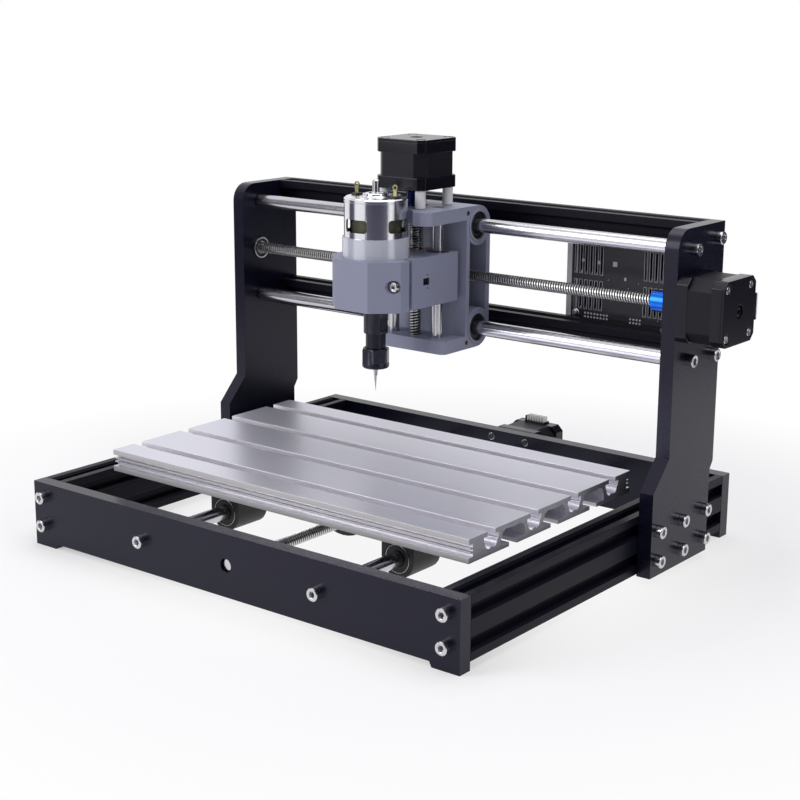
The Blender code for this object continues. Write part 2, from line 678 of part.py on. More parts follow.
# ---- the bed and what it slides on ------------------------------------------------------------
def bed_section():
    """End view of the bed: clamping slots above, wide channels below, a groove along each edge."""
    half = BED_WIDTH / 2
    slot = mirrored([(-BED_SLOT_HALF, 0.0), (-BED_SLOT_HALF, BED_LIP), (-BED_CAVITY_HALF, BED_LIP),
                     (-BED_CAVITY_HALF, BED_CAVITY_DEPTH), (-BED_SLOT_FLOOR_HALF, BED_SLOT_NECKDOWN),
                     (-BED_SLOT_FLOOR_HALF, BED_SLOT_DEPTH)])
    channel = mirrored([(-BED_SLOT_HALF, 0.0), (-BED_SLOT_HALF, BED_UNDER_LIP),
                        (-BED_UNDER_HALF, BED_UNDER_LIP), (-BED_UNDER_HALF, BED_UNDER_DEPTH)])
    groove = [(0.0, BED_EDGE_LIP), (BED_EDGE_GROOVE, BED_EDGE_LIP),
              (BED_EDGE_GROOVE, BED_THICKNESS - BED_EDGE_LIP), (0.0, BED_THICKNESS - BED_EDGE_LIP)]
    outline = [(-half, 0.0)]
    for i in range(BED_SLOT_COUNT - 1):
        middle = (i + 1 - BED_SLOT_COUNT / 2) * BED_SLOT_PITCH
        outline += [(middle + s, depth) for s, depth in channel]
    outline += [(half, 0.0)] + [(half - depth, z) for depth, z in groove]
    outline += [(half, BED_THICKNESS)]
    for i in reversed(range(BED_SLOT_COUNT)):
        middle = (i + 0.5 - BED_SLOT_COUNT / 2) * BED_SLOT_PITCH
        outline += [(middle - s, BED_THICKNESS - depth) for s, depth in slot]
    outline += [(-half, BED_THICKNESS)] + [(depth - half, z) for depth, z in reversed(groove)]
    return outline


def bed():
    mesh = flat([bed_section()], BED_LENGTH, "YZ")
    piece("t_slot_bed", mesh, "bed", (BED_SHIFT_X, BED_Y, BED_BOTTOM), BARE_ALUMINIUM, smooth=False)


def block_outline(width, bore):
    """Front view of a block that hangs under the bed, round below its bore."""
    half = width / 2
    top = BED_BOTTOM - SEAT_GAP - Y_AXIS_Z
    edge = [(half, 0.0), (half, top), (-half, top), (-half, 0.0)]
    edge += arc((0.0, 0.0), half, 180, 360, 12)[1:-1]
    return [edge, circle((0.0, 0.0), bore)]


def slider_blocks():
    bore = BEARING_RADIUS + SEAT_GAP
    radii = (BEARING_RADIUS, ROD_RADIUS + RUN_GAP)
    for side_name, side in (("left", -1), ("right", 1)):
        for end_name, end in (("front", -1), ("rear", 1)):
            at = (side * Y_ROD_PITCH / 2, BED_Y + end * BLOCK_PITCH_Y / 2, Y_AXIS_Z)
            mesh = flat(block_outline(BLOCK_WIDTH, bore), BLOCK_LENGTH, "XZ")
            piece(f"{end_name}_{side_name}_slider", mesh, "bed", at, BLACK_PLATE)
            name = f"{end_name}_{side_name}_bearing"
            sleeve_bearing(name, "bed", "Y", radii, BEARING_LENGTH, at)


def bed_nut():
    bore = NUT_BARREL_RADIUS + SEAT_GAP
    mesh = flat(block_outline(NUT_BLOCK_WIDTH, bore), NUT_BLOCK_LENGTH, "XZ")
    piece("bed_nut_block", mesh, "bed", (0.0, BED_Y, Y_AXIS_Z), BLACK_PLATE)
    y = BED_Y + NUT_BLOCK_LENGTH / 2 + SEAT_GAP + NUT_FLANGE_T
    lead_nut("bed_nut", "bed", "-Y", (0.0, y, Y_AXIS_Z))


# ---- X carriage -------------------------------------------------------------------------------
def carriage_wall():
    """Side view of the carriage's upright: square at the front, round the two rods at the back."""
    radius = CARRIAGE_BOSS_RADIUS
    edge = [(CARRIAGE_FRONT_Y, CARRIAGE_BOTTOM)]
    edge += arc((ROD_Y, LOWER_ROD_Z), radius, 270, 360, 6)
    edge += arc((ROD_Y, UPPER_ROD_Z), radius, 0, 90, 6)
    edge += [(CARRIAGE_FRONT_Y, CARRIAGE_TOP)]
    bore = BEARING_RADIUS + SEAT_GAP
    holes = [circle((ROD_Y, LOWER_ROD_Z), bore), circle((ROD_Y, UPPER_ROD_Z), bore)]
    return [edge] + holes


def carriage_pocket():
    """The hollow between the two bearing bosses, seen from the side."""
    front = CARRIAGE_FRONT_Y + CARRIAGE_RIM_FRONT
    back = CARRIAGE_BACK_Y - CARRIAGE_RIM_BACK
    radius = CARRIAGE_BOSS_RADIUS
    reach_front = math.degrees(math.acos((ROD_Y - front) / radius))
    reach_back = math.degrees(math.acos((back - ROD_Y) / radius))
    edge = arc((ROD_Y, LOWER_ROD_Z), radius, 180 - reach_front, reach_back, 8)
    edge += arc((ROD_Y, UPPER_ROD_Z), radius, 360 - reach_back, 180 + reach_front, 8)
    return edge


def top_shelf_outline():
    """Plan of the top shelf: round front corners and a bay for the spindle motor's can."""
    half = CARRIAGE_WIDTH / 2
    front = CARRIAGE_FRONT_Y - TOP_SHELF_REACH
    back = CARRIAGE_FRONT_Y + CARRIAGE_RIM_FRONT
    radius = SHELF_CORNER_RADIUS
    bay = SPINDLE_CLEARANCE_RADIUS
    spread = math.degrees(math.acos((front - SPINDLE_Y) / bay))
    edge = [(half, back), (-half, back)]
    edge += arc((-half + radius, front + radius), radius, 180, 270, 5)
    edge += arc((0.0, SPINDLE_Y), bay, 90 + spread, 90 - spread, 14)
    edge += arc((half - radius, front + radius), radius, 270, 360, 5)
    return edge


def bottom_shelf_outline():
    half = CARRIAGE_WIDTH / 2
    front = CARRIAGE_FRONT_Y - BOTTOM_SHELF_REACH
    back = CARRIAGE_FRONT_Y + CARRIAGE_RIM_FRONT
    corner = SHELF_CORNER_CUT
    return [(half, back), (-half, back), (-half, front + corner), (-half + corner, front),
            (half - corner, front), (half, front + corner)]


def carriage():
    body_name = "x_carriage"
    here = (CARRIAGE_X, 0.0, 0.0)
    wall = flat(carriage_wall(), CARRIAGE_WIDTH, "YZ")
    made = piece("x_carriage", wall, body_name, here, GREY_PLASTIC)
    top = flat([top_shelf_outline()], SHELF_THICKNESS, "XY")
    weld_on(made, top, body_name, (CARRIAGE_X, 0.0, CARRIAGE_TOP - SHELF_THICKNESS / 2))
    bottom = flat([bottom_shelf_outline()], BOTTOM_SHELF_THICKNESS, "XY")
    low = CARRIAGE_BOTTOM + BOTTOM_SHELF_THICKNESS / 2
    weld_on(made, bottom, body_name, (CARRIAGE_X, 0.0, low))
    web_left = CARRIAGE_WEB_OFFSET - CARRIAGE_WEB / 2
    web_right = CARRIAGE_WEB_OFFSET + CARRIAGE_WEB / 2
    over = CARRIAGE_RIM_FRONT
    for low_x, high_x in ((-CARRIAGE_WIDTH / 2 - over, web_left),
                          (web_right, CARRIAGE_WIDTH / 2 + over)):
        pocket = flat([carriage_pocket()], high_x - low_x, "YZ")
        cut(made, pocket, body_name, (CARRIAGE_X + (low_x + high_x) / 2, 0.0, 0.0))
    hole = cylinder(NUT_BARREL_RADIUS + SEAT_GAP, 4 * CARRIAGE_WEB, "X", BORE_SEGMENTS)
    cut(made, hole, body_name, (CARRIAGE_X + CARRIAGE_WEB_OFFSET, ROD_Y, X_SCREW_Z))
    middle = (CARRIAGE_TOP + CARRIAGE_BOTTOM) / 2
    height = 1.2 * (CARRIAGE_TOP - CARRIAGE_BOTTOM)
    for side in (-1, 1):
        hole = cylinder(Z_ROD_RADIUS + SEAT_GAP, height, "Z", ROD_SEGMENTS)
        cut(made, hole, body_name, (CARRIAGE_X + side * Z_ROD_PITCH / 2, Z_PLANE_Y, middle))
    hole = cylinder(SCREW_RADIUS + 2 * RUN_GAP, height / 2, "Z", ROD_SEGMENTS)
    cut(made, hole, body_name, (CARRIAGE_X, Z_PLANE_Y, CARRIAGE_BOTTOM))
    hole = cylinder(COUPLER_RADIUS + 5 * RUN_GAP, height / 2, "Z", BORE_SEGMENTS)
    cut(made, hole, body_name, (CARRIAGE_X, Z_PLANE_Y, CARRIAGE_TOP))
    screw_y = CARRIAGE_FRONT_Y + CARRIAGE_SCREW_HOLE_RADIUS
    for z in (CARRIAGE_TOP - SHELF_THICKNESS / 2, CARRIAGE_BOTTOM + BOTTOM_SHELF_THICKNESS / 2):
        hole = cylinder(CARRIAGE_SCREW_HOLE_RADIUS, 1.2 * CARRIAGE_WIDTH, "X", 8)
        cut(made, hole, body_name, (CARRIAGE_X, screw_y, z))


def carriage_fittings():
    body_name = "x_carriage"
    bearing_radii = (BEARING_RADIUS, ROD_RADIUS + RUN_GAP)
    for name, z in (("upper_x_bearing", UPPER_ROD_Z), ("lower_x_bearing", LOWER_ROD_Z)):
        sleeve_bearing(name, body_name, "X", bearing_radii, X_BEARING_LENGTH, (CARRIAGE_X, ROD_Y, z))
    web_left = CARRIAGE_X + CARRIAGE_WEB_OFFSET - CARRIAGE_WEB / 2
    nut_x = web_left - SEAT_GAP - NUT_FLANGE_T
    lead_nut("x_nut", body_name, "X", (nut_x, ROD_Y, X_SCREW_Z))
    stepping_motor("z_motor", body_name, "Z", (CARRIAGE_X, Z_PLANE_Y, Z_MOTOR_Z))
    half = MOTOR_SCREW_PITCH / 2
    for side_name, side in (("left", -1), ("right", 1)):
        for end_name, end in (("front", -1), ("rear", 1)):
            mesh = cylinder(SPACER_RADIUS, SPACER_HEIGHT, "Z", ROD_SEGMENTS)
            z = CARRIAGE_TOP + SEAT_GAP + SPACER_HEIGHT / 2
            at = (CARRIAGE_X + side * half, Z_PLANE_Y + end * half, z)
            piece(f"{end_name}_{side_name}_spacer", mesh, body_name, at, WHITE_NYLON)
        x = CARRIAGE_X + side * Z_ROD_PITCH / 2
        low = (x, Z_PLANE_Y, CARRIAGE_BOTTOM + RUN_GAP)
        high = (x, Z_PLANE_Y, CARRIAGE_TOP - SCREW_RADIUS / 2)
        span_rod(f"{side_name}_z_rod", body_name, "Z", Z_ROD_RADIUS, low, high, BRIGHT_STEEL)


# ---- lead screws with their couplers and motor shafts -----------------------------------------
def x_drive():
    coupler_end = LEG_OUTER_X - MOTOR_BOSS_HEIGHT - COUPLER_CLEARANCE
    middle = coupler_end - COUPLER_LENGTH / 2
    left = -LEG_OUTER_X + PLATE_THICKNESS / 5
    line = (ROD_Y, X_SCREW_Z)
    span_rod("x_lead_screw", "x_screw", "X", SCREW_RADIUS, (left, *line),
             (middle - SEAT_GAP, *line), SCREW_STEEL)
    coupler("x_coupler", "x_screw", "X", COUPLER_LENGTH, (middle, *line))
    span_rod("x_motor_shaft", "x_screw", "X", MOTOR_SHAFT_RADIUS, (middle + SEAT_GAP, *line),
             (LEG_OUTER_X + MOTOR_BORE_DEPTH / 2, *line), BRIGHT_STEEL)
    stepping_motor("x_motor", "frame", "X", (LEG_OUTER_X + SEAT_GAP, *line))
    end_bearing("x_screw_bearing", "X", (-LEG_INNER_X, *line))


def y_drive():
    coupler_end = BASE_DEPTH - MOTOR_BOSS_HEIGHT - COUPLER_CLEARANCE
    middle = coupler_end - COUPLER_LENGTH / 2
    front = PLATE_THICKNESS / 5
    span_rod("y_lead_screw", "y_screw", "Y", SCREW_RADIUS, (0.0, front, Y_AXIS_Z),
             (0.0, middle - SEAT_GAP, Y_AXIS_Z), SCREW_STEEL)
    coupler("y_coupler", "y_screw", "Y", COUPLER_LENGTH, (0.0, middle, Y_AXIS_Z))
    span_rod("y_motor_shaft", "y_screw", "Y", MOTOR_SHAFT_RADIUS,
             (0.0, middle + SEAT_GAP, Y_AXIS_Z),
             (0.0, BASE_DEPTH + MOTOR_BORE_DEPTH / 2, Y_AXIS_Z), BRIGHT_STEEL)
    stepping_motor("y_motor", "frame", "Y", (0.0, BASE_DEPTH + SEAT_GAP, Y_AXIS_Z))
    end_bearing("y_screw_bearing", "Y", (0.0, PLATE_BACK_Y, Y_AXIS_Z))


def z_drive():
    coupler_top = Z_MOTOR_Z - MOTOR_BOSS_HEIGHT - SEAT_GAP
    middle = coupler_top - Z_COUPLER_LENGTH / 2
    line = (CARRIAGE_X, Z_PLANE_Y)
    span_rod("z_lead_screw", "z_screw", "Z", SCREW_RADIUS, (*line, CARRIAGE_BOTTOM + RUN_GAP),
             (*line, middle - SEAT_GAP), SCREW_STEEL)
    coupler("z_coupler", "z_screw", "Z", Z_COUPLER_LENGTH, (*line, middle))
    span_rod("z_motor_shaft", "z_screw", "Z", MOTOR_SHAFT_RADIUS, (*line, middle + SEAT_GAP),
             (*line, Z_MOTOR_Z + MOTOR_BORE_DEPTH / 2), BRIGHT_STEEL)


# ---- spindle slide ----------------------------------------------------------------------------
def holder_outline():
    """Plan of the spindle holder, from the spindle's axis: chamfered nose, square back."""
    half = HOLDER_HALF_WIDTH
    front = -HOLDER_FRONT
    back = HOLDER_BACK_Y - SPINDLE_Y
    chamfer = HOLDER_CHAMFER
    edge = [(half, back), (-half, back), (-half, front + chamfer), (-half + chamfer, front),
            (half - chamfer, front), (half, front + chamfer)]
    rear = SPINDLE_SETBACK
    holes = [circle((0.0, 0.0), SLEEVE_RADIUS + SEAT_GAP, CAN_SEGMENTS),
             circle((0.0, rear), NUT_BARREL_RADIUS + SEAT_GAP)]
    for side in (-1, 1):
        holes.append(circle((side * Z_ROD_PITCH / 2, rear), Z_BEARING_RADIUS + SEAT_GAP))
    return [edge] + holes


def spindle_holder():
    body_name = "z_slider"
    mesh = flat(holder_outline(), HOLDER_HEIGHT, "XY")
    middle = HOLDER_BOTTOM_Z + HOLDER_HEIGHT / 2
    holder = piece("spindle_holder", mesh, body_name, (CARRIAGE_X, SPINDLE_Y, middle), GREY_PLASTIC)
    slit = block((HOLDER_HALF_WIDTH, HOLDER_SLIT, 1.2 * HOLDER_HEIGHT))
    reach = SLEEVE_RADIUS - SLEEVE_WALL
    cut(holder, slit, body_name, (CARRIAGE_X + reach + HOLDER_HALF_WIDTH / 2, SPINDLE_Y, middle))
    seat = cylinder(NUT_FLANGE_RADIUS + SEAT_GAP, 2 * (NUT_FLANGE_T + SEAT_GAP), "Z", BORE_SEGMENTS)
    cut(holder, seat, body_name, (CARRIAGE_X, Z_PLANE_Y, HOLDER_TOP_Z))
    x = CARRIAGE_X + CLAMP_SCREW_OFFSET
    head_y = clamp_head_y()
    recess = cylinder(CLAMP_HEAD_RADIUS + SEAT_GAP, HOLDER_FRONT, "Y", ROD_SEGMENTS)
    cut(holder, recess, body_name, (x, head_y + CLAMP_HEAD_HEIGHT - HOLDER_FRONT / 2, CLAMP_SCREW_Z))
    bore = cylinder(CLAMP_SHANK_RADIUS + RUN_GAP, CLAMP_LENGTH + SEAT_GAP, "Y", 12)
    bore_y = head_y + CLAMP_HEAD_HEIGHT + (CLAMP_LENGTH + SEAT_GAP) / 2 - SEAT_GAP
    cut(holder, bore, body_name, (x, bore_y, CLAMP_SCREW_Z))
    pocket_x = CARRIAGE_X + HOLDER_HALF_WIDTH
    cut(holder, block(NUT_POCKET_SIZE), body_name,
        (pocket_x, SPINDLE_Y + NUT_POCKET_SETBACK, CLAMP_SCREW_Z))


def clamp_head_y():
    """The screw head's outer face, level with the middle of the chamfer it is sunk into."""
    along = HOLDER_HALF_WIDTH - CLAMP_SCREW_OFFSET
    return HOLDER_FRONT_Y + HOLDER_CHAMFER - along


def clamp_screw():
    head = CLAMP_HEAD_HEIGHT - SEAT_GAP
    end = CLAMP_HEAD_HEIGHT + CLAMP_LENGTH - 2 * SEAT_GAP
    mesh = turned([(0.0, end), (CLAMP_SHANK_RADIUS, end), (CLAMP_SHANK_RADIUS, head),
                   (CLAMP_HEAD_RADIUS, head), (CLAMP_HEAD_RADIUS, 0.0), (0.0, 0.0)], "Y", 16)
    at = (CARRIAGE_X + CLAMP_SCREW_OFFSET, clamp_head_y(), CLAMP_SCREW_Z)
    piece("clamp_screw", mesh, "z_slider", at, SCREW_STEEL)


def z_guides():
    """The holder's linear bearings on the Z rods, and the nut on the Z screw."""
    radii = (Z_BEARING_RADIUS, Z_ROD_RADIUS + RUN_GAP)
    middle = HOLDER_BOTTOM_Z + HOLDER_HEIGHT / 2
    for side_name, side in (("left", -1), ("right", 1)):
        at = (CARRIAGE_X + side * Z_ROD_PITCH / 2, Z_PLANE_Y, middle)
        sleeve_bearing(f"{side_name}_z_bearing", "z_slider", "Z", radii, Z_BEARING_LENGTH, at)
    lead_nut("z_nut", "z_slider", "-Z", (CARRIAGE_X, Z_PLANE_Y, HOLDER_TOP_Z))


def spindle_sleeve():
    """Thin split sleeve that fills the holder's bore out round the motor's can."""
    inner = SLEEVE_RADIUS - SLEEVE_WALL
    top = HOLDER_HEIGHT + SLEEVE_PROUD
    mesh = turned([(SLEEVE_RADIUS, top), (SLEEVE_RADIUS, SLEEVE_FOOT), (inner, SLEEVE_FOOT),
                   (inner, top)], "Z", CAN_SEGMENTS, ring=True)
    piece("spindle_sleeve", mesh, "z_slider", (CARRIAGE_X, SPINDLE_Y, HOLDER_BOTTOM_Z), PALE_PLASTIC)


def spindle_motor():
    """Brushed motor: a steel can with windows near the top, its end cap, boss and two tabs."""
    body_name = "z_slider"
    axis_at = (CARRIAGE_X, SPINDLE_Y, 0.0)
    bore = MOTOR_SHAFT_RADIUS + RUN_GAP
    shoulder = CAN_TOP_Z + CAN_SHOULDER
    boss_top = shoulder + CAN_BOSS_HEIGHT
    mesh = turned([(CAN_BOSS_RADIUS, boss_top), (CAN_BOSS_RADIUS, shoulder),
                   (CAN_RADIUS - CAN_SHOULDER, shoulder), (CAN_RADIUS, CAN_TOP_Z),
                   (CAN_RADIUS, CAN_BOTTOM_Z), (bore, CAN_BOTTOM_Z), (bore, boss_top)],
                  "Z", CAN_SEGMENTS, ring=True)
    motor = piece("spindle_motor", mesh, body_name, axis_at, BRIGHT_STEEL)
    z = WINDOW_BOTTOM_Z + WINDOW_HEIGHT / 2
    for quarter in range(4):
        turn = Matrix.Rotation(quarter * math.pi / 2, 4, "Z")
        window = block((2 * WINDOW_DEPTH, WINDOW_WIDTH, WINDOW_HEIGHT))
        window.transform(Matrix.Translation((CAN_RADIUS, 0.0, 0.0)))
        window.transform(turn)
        cut(motor, window, body_name, (CARRIAGE_X, SPINDLE_Y, z))
    for side in (-1, 1):
        z = shoulder + TERMINAL_SIZE[2] / 2 - CAN_SHOULDER / 2
        at = (CARRIAGE_X + side * TERMINAL_OFFSET, SPINDLE_Y, z)
        weld_on(motor, block(TERMINAL_SIZE), body_name, at)


# ---- spindle tooling --------------------------------------------------------------------------
def tooling():
    body_name = "spindle"
    axis_at = (CARRIAGE_X, SPINDLE_Y, 0.0)
    shaft_end = CHUCK_TOP_Z - CHUCK_BORE_DEPTH
    span_rod("spindle_shaft", body_name, "Z", MOTOR_SHAFT_RADIUS,
             (CARRIAGE_X, SPINDLE_Y, shaft_end + SEAT_GAP),
             (CARRIAGE_X, SPINDLE_Y, SPINDLE_SHAFT_TOP_Z), BRIGHT_STEEL)
    shaft_bore = MOTOR_SHAFT_RADIUS + RUN_GAP
    bit_bore = BIT_RADIUS + RUN_GAP
    bit_seat = BIT_TOP_Z + SEAT_GAP
    mesh = turned([(0.0, shaft_end), (shaft_bore, shaft_end), (shaft_bore, CHUCK_TOP_Z),
                   (CHUCK_RADIUS, CHUCK_TOP_Z), (CHUCK_RADIUS, CHUCK_SHOULDER_Z),
                   (CHUCK_NECK_RADIUS, CHUCK_SHOULDER_Z), (CHUCK_NECK_RADIUS, CHUCK_NOSE_Z),
                   (bit_bore, CHUCK_NOSE_Z), (bit_bore, bit_seat), (0.0, bit_seat)])
    piece("collet_chuck", mesh, body_name, axis_at, BLACK_STEEL)
    inner = CHUCK_NECK_RADIUS + SEAT_GAP
    floor = CHUCK_NOSE_Z - SEAT_GAP
    mesh = turned([(COLLET_NUT_RADIUS, COLLET_NUT_TOP_Z), (COLLET_NUT_RADIUS, COLLET_NUT_BOTTOM_Z),
                   (COLLET_MOUTH_RADIUS, COLLET_NUT_BOTTOM_Z), (COLLET_MOUTH_RADIUS, floor),
                   (inner, floor), (inner, COLLET_NUT_TOP_Z)], ring=True)
    piece("collet_nut", mesh, body_name, axis_at, BLACK_STEEL)
    mesh = turned([(0.0, BIT_TOP_Z), (BIT_RADIUS, BIT_TOP_Z),
                   (BIT_RADIUS, BIT_TIP_Z + BIT_CONE_LENGTH), (BIT_TIP_RADIUS, BIT_TIP_Z),
                   (0.0, BIT_TIP_Z)], "Z", 16)
    piece("engraving_bit", mesh, body_name, axis_at, BRIGHT_STEEL)


# ---- control board ----------------------------------------------------------------------------
def board_slots():
    """Two rows of upright slots at each side of the board."""
    slots = []
    rows = ((BOARD_BOTTOM_Z + 0.0080, 0.0200), (BOARD_BOTTOM_Z + 0.0330, 0.0195))
    groups = ((0.0036, 6), (0.0592, 4))
    for low, height in rows:
        for start, count in groups:
            for i in range(count):
                left = BOARD_LEFT_X + start + i * BOARD_SLOT_PITCH - BOARD_SLOT_WIDTH / 2
                slots.append(oblong(left, low, BOARD_SLOT_WIDTH, height))
    return slots


def control_board():
    outline = oblong(BOARD_LEFT_X, BOARD_BOTTOM_Z, BOARD_WIDTH, BOARD_HEIGHT)
    mesh = flat([outline] + board_slots(), BOARD_THICKNESS, "XZ")
    y = GANTRY_BACK_Y + BOARD_SETBACK + BOARD_THICKNESS / 2
    piece("control_board", mesh, "frame", (0.0, y, 0.0), BLACK_BOARD, smooth=False)


def board_backplate():
    """Plate behind the control board, with posts to the gantry profiles and to the board."""
    left = BOARD_LEFT_X - BACKPLATE_MARGIN
    right = BOARD_LEFT_X + BOARD_WIDTH + BACKPLATE_MARGIN / 2
    outline = oblong(left, BACKPLATE_BOTTOM_Z, right - left, BACKPLATE_TOP_Z - BACKPLATE_BOTTOM_Z)
    mesh = flat([outline], BACKPLATE_THICKNESS, "XZ")
    face_y = GANTRY_BACK_Y + BACKPLATE_SETBACK
    y = face_y + BACKPLATE_THICKNESS / 2
    plate = piece("board_backplate", mesh, "frame", (0.0, y, 0.0), CLEAR_PLATE, smooth=False)
    for x in (left + POST_INSET, right - POST_INSET):
        for z in (LOWER_PROFILE_Z, UPPER_PROFILE_Z):
            start = GANTRY_BACK_Y + SEAT_GAP
            length = y - start
            post = cylinder(PROFILE_POST_RADIUS, length, "Y", 12)
            weld_on(plate, post, "frame", (x, start + length / 2, z))
    board_back = GANTRY_BACK_Y + BOARD_SETBACK + BOARD_THICKNESS + SEAT_GAP
    length = y - board_back
    middle = BOARD_LEFT_X + BOARD_WIDTH / 2
    for z in (BOARD_BOTTOM_Z + BOARD_POST_RADIUS,
              BOARD_BOTTOM_Z + BOARD_HEIGHT - BOARD_POST_RADIUS):
        post = cylinder(BOARD_POST_RADIUS, length, "Y", 12)
        weld_on(plate, post, "frame", (middle, board_back + length / 2, z))


# ---- assembly ---------------------------------------------------------------------------------
body("frame", None, (0.0, 0.0, 0.0))
body("bed", "frame", (0.0, BED_Y, Y_AXIS_Z))
body("y_screw", "frame", (0.0, BASE_DEPTH / 2, Y_AXIS_Z))
body("x_screw", "frame", (0.0, ROD_Y, X_SCREW_Z))
body("x_carriage", "frame", (CARRIAGE_X, ROD_Y, X_SCREW_Z))
body("z_screw", "x_carriage", (CARRIAGE_X, Z_PLANE_Y, X_SCREW_Z))
body("z_slider", "x_carriage", (CARRIAGE_X, Z_PLANE_Y, HOLDER_BOTTOM_Z))
body("spindle", "z_slider", (CARRIAGE_X, SPINDLE_Y, HOLDER_BOTTOM_Z))

front_plate()
rear_plate()
side_profile("left_side_profile", -1)
side_profile("right_side_profile", 1)
left_gantry_plate()
right_gantry_plate()
gantry_profile("upper_gantry_profile", UPPER_PROFILE_Z)
gantry_profile("lower_gantry_profile", LOWER_PROFILE_Z)
fixed_rods()
control_board()
board_backplate()
x_drive()
y_drive()
bed()
slider_blocks()
bed_nut()
carriage()
carriage_fittings()
z_drive()
spindle_holder()
spindle_sleeve()
spindle_motor()
clamp_screw()
z_guides()
tooling()
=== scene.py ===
"""The finished look of a desktop CNC router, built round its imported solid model."""

import math

import bmesh
import bpy
from mathutils import Matrix, Vector


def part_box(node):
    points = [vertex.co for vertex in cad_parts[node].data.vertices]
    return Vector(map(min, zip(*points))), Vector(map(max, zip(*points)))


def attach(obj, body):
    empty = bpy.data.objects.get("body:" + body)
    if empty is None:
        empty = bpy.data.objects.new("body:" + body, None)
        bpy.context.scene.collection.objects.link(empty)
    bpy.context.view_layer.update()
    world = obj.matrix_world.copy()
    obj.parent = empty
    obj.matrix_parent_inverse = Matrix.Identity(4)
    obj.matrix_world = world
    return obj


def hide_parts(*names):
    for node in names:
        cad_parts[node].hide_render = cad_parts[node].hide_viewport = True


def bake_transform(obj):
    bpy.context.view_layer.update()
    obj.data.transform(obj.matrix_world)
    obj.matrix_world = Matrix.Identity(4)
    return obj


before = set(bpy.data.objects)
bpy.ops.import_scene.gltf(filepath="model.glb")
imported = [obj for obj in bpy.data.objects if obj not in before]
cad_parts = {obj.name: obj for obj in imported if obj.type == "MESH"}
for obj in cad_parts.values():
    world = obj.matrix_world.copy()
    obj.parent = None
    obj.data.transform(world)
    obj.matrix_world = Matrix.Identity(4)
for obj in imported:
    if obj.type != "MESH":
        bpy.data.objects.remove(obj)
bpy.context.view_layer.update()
MM = 0.001


# ---- End plates ----
# Two long plates of black phenolic sheet, 10 mm thick, sawn and milled to shape, that carry the
# rods and close the base frame at the front and at the back.  Their edges are eased by hand.
class Wire:
    """An output in a material's tree; arithmetic on it adds the Math nodes that work it out."""

    def __init__(self, nodes, socket):
        self.nodes = nodes
        self.socket = socket

    def math(self, operation, first, second):
        return self.nodes.node("ShaderNodeMath", {"operation": operation}, {0: first, 1: second})

    def __add__(self, other):
        return self.math("ADD", self, other)

    def __sub__(self, other):
        return self.math("SUBTRACT", self, other)

    def __rsub__(self, other):
        return self.math("SUBTRACT", other, self)

    def __mul__(self, other):
        return self.math("MULTIPLY", self, other)

    def __gt__(self, other):
        return self.math("GREATER_THAN", self, other)

    def __mod__(self, other):
        return self.math("FLOORED_MODULO", self, other)

    __radd__ = __add__
    __rmul__ = __mul__


class Nodes:
    """A node tree being built up: nodes are added by type, and their sockets fed by name."""

    def __init__(self, tree):
        self.tree = tree

    def node(self, kind, settings=None, sockets=None, out=0):
        made = self.tree.nodes.new(kind)
        for key, value in (settings or {}).items():
            setattr(made, key, value)
        for key, value in (sockets or {}).items():
            self.join(value, made.inputs[key])
        return Wire(self, made.outputs[out])

    def join(self, value, socket):
        if isinstance(value, Wire):
            self.tree.links.new(value.socket, socket)
        elif socket.type == "RGBA":
            socket.default_value = (*value, 1.0)
        else:
            socket.default_value = value


class Finish(Nodes):
    """A material being built up round its shader."""

    def __init__(self, name, sockets):
        self.material = bpy.data.materials.new(name)
        self.material.use_nodes = True
        super().__init__(self.material.node_tree)
        self.shader = self.tree.nodes["Principled BSDF"]
        self.place = self.node("ShaderNodeTexCoord", out="Object")
        self.feed(sockets)

    def feed(self, sockets):
        for key, value in sockets.items():
            self.join(value, self.shader.inputs[key])

    def noise(self, scale, detail=2.0, stretch=(1.0, 1.0, 1.0)):
        """Cloudy noise over the piece; scale is in blotches a metre, stretch scales each axis."""
        where = self.vector("MULTIPLY", self.place, stretch)
        return self.node("ShaderNodeTexNoise", {},
                         {"Vector": where, "Scale": scale, "Detail": detail})

    def vector(self, operation, first, second=(0.0, 0.0, 0.0), out=0):
        return self.node("ShaderNodeVectorMath", {"operation": operation},
                         {0: first, 1: second}, out)

    def along(self, axis, vector=None):
        """One component of a vector, which is the place on the piece unless another is given."""
        return self.node("ShaderNodeSeparateXYZ", {}, {0: vector or self.place}, axis)

    def mix(self, factor, first, second):
        return self.node("ShaderNodeMix", {"data_type": "RGBA"},
                         {0: factor, 6: first, 7: second}, out=2)

    def ramp(self, factor, low, high):
        """0 below low, 1 above high, and even between."""
        return self.node("ShaderNodeMapRange", {},
                         {"Value": factor, "From Min": low, "From Max": high})

    def bump(self, height, depth, strength=1.0):
        return self.node("ShaderNodeBump", {},
                         {"Height": height, "Distance": depth, "Strength": strength})

    def mottle(self, blotches, bright, dull, grain, roughness, dents=None, drift=None, coat=None):
        """Colour drifts between two in blotches; a finer grain roughens and dents the surface.

        Drift roughens the blotches too, and a coat is a base weight and what they add to it."""
        cloud = self.noise(*blotches)
        fine = self.noise(*grain)
        gloss = roughness[0] + roughness[1] * fine
        self.feed({"Base Color": self.mix(cloud, bright, dull),
                   "Roughness": gloss + drift * cloud if drift else gloss})
        if dents:
            self.feed({"Normal": self.bump(fine, *dents)})
        if coat:
            self.feed({"Coat Weight": coat[0] + coat[1] * cloud})
        return self.material


def even(mesh, degrees=35):
    """Smooth shading that keeps hard edges hard."""
    mesh.shade_smooth()
    mesh.set_sharp_from_angle(angle=math.radians(degrees))
    return mesh


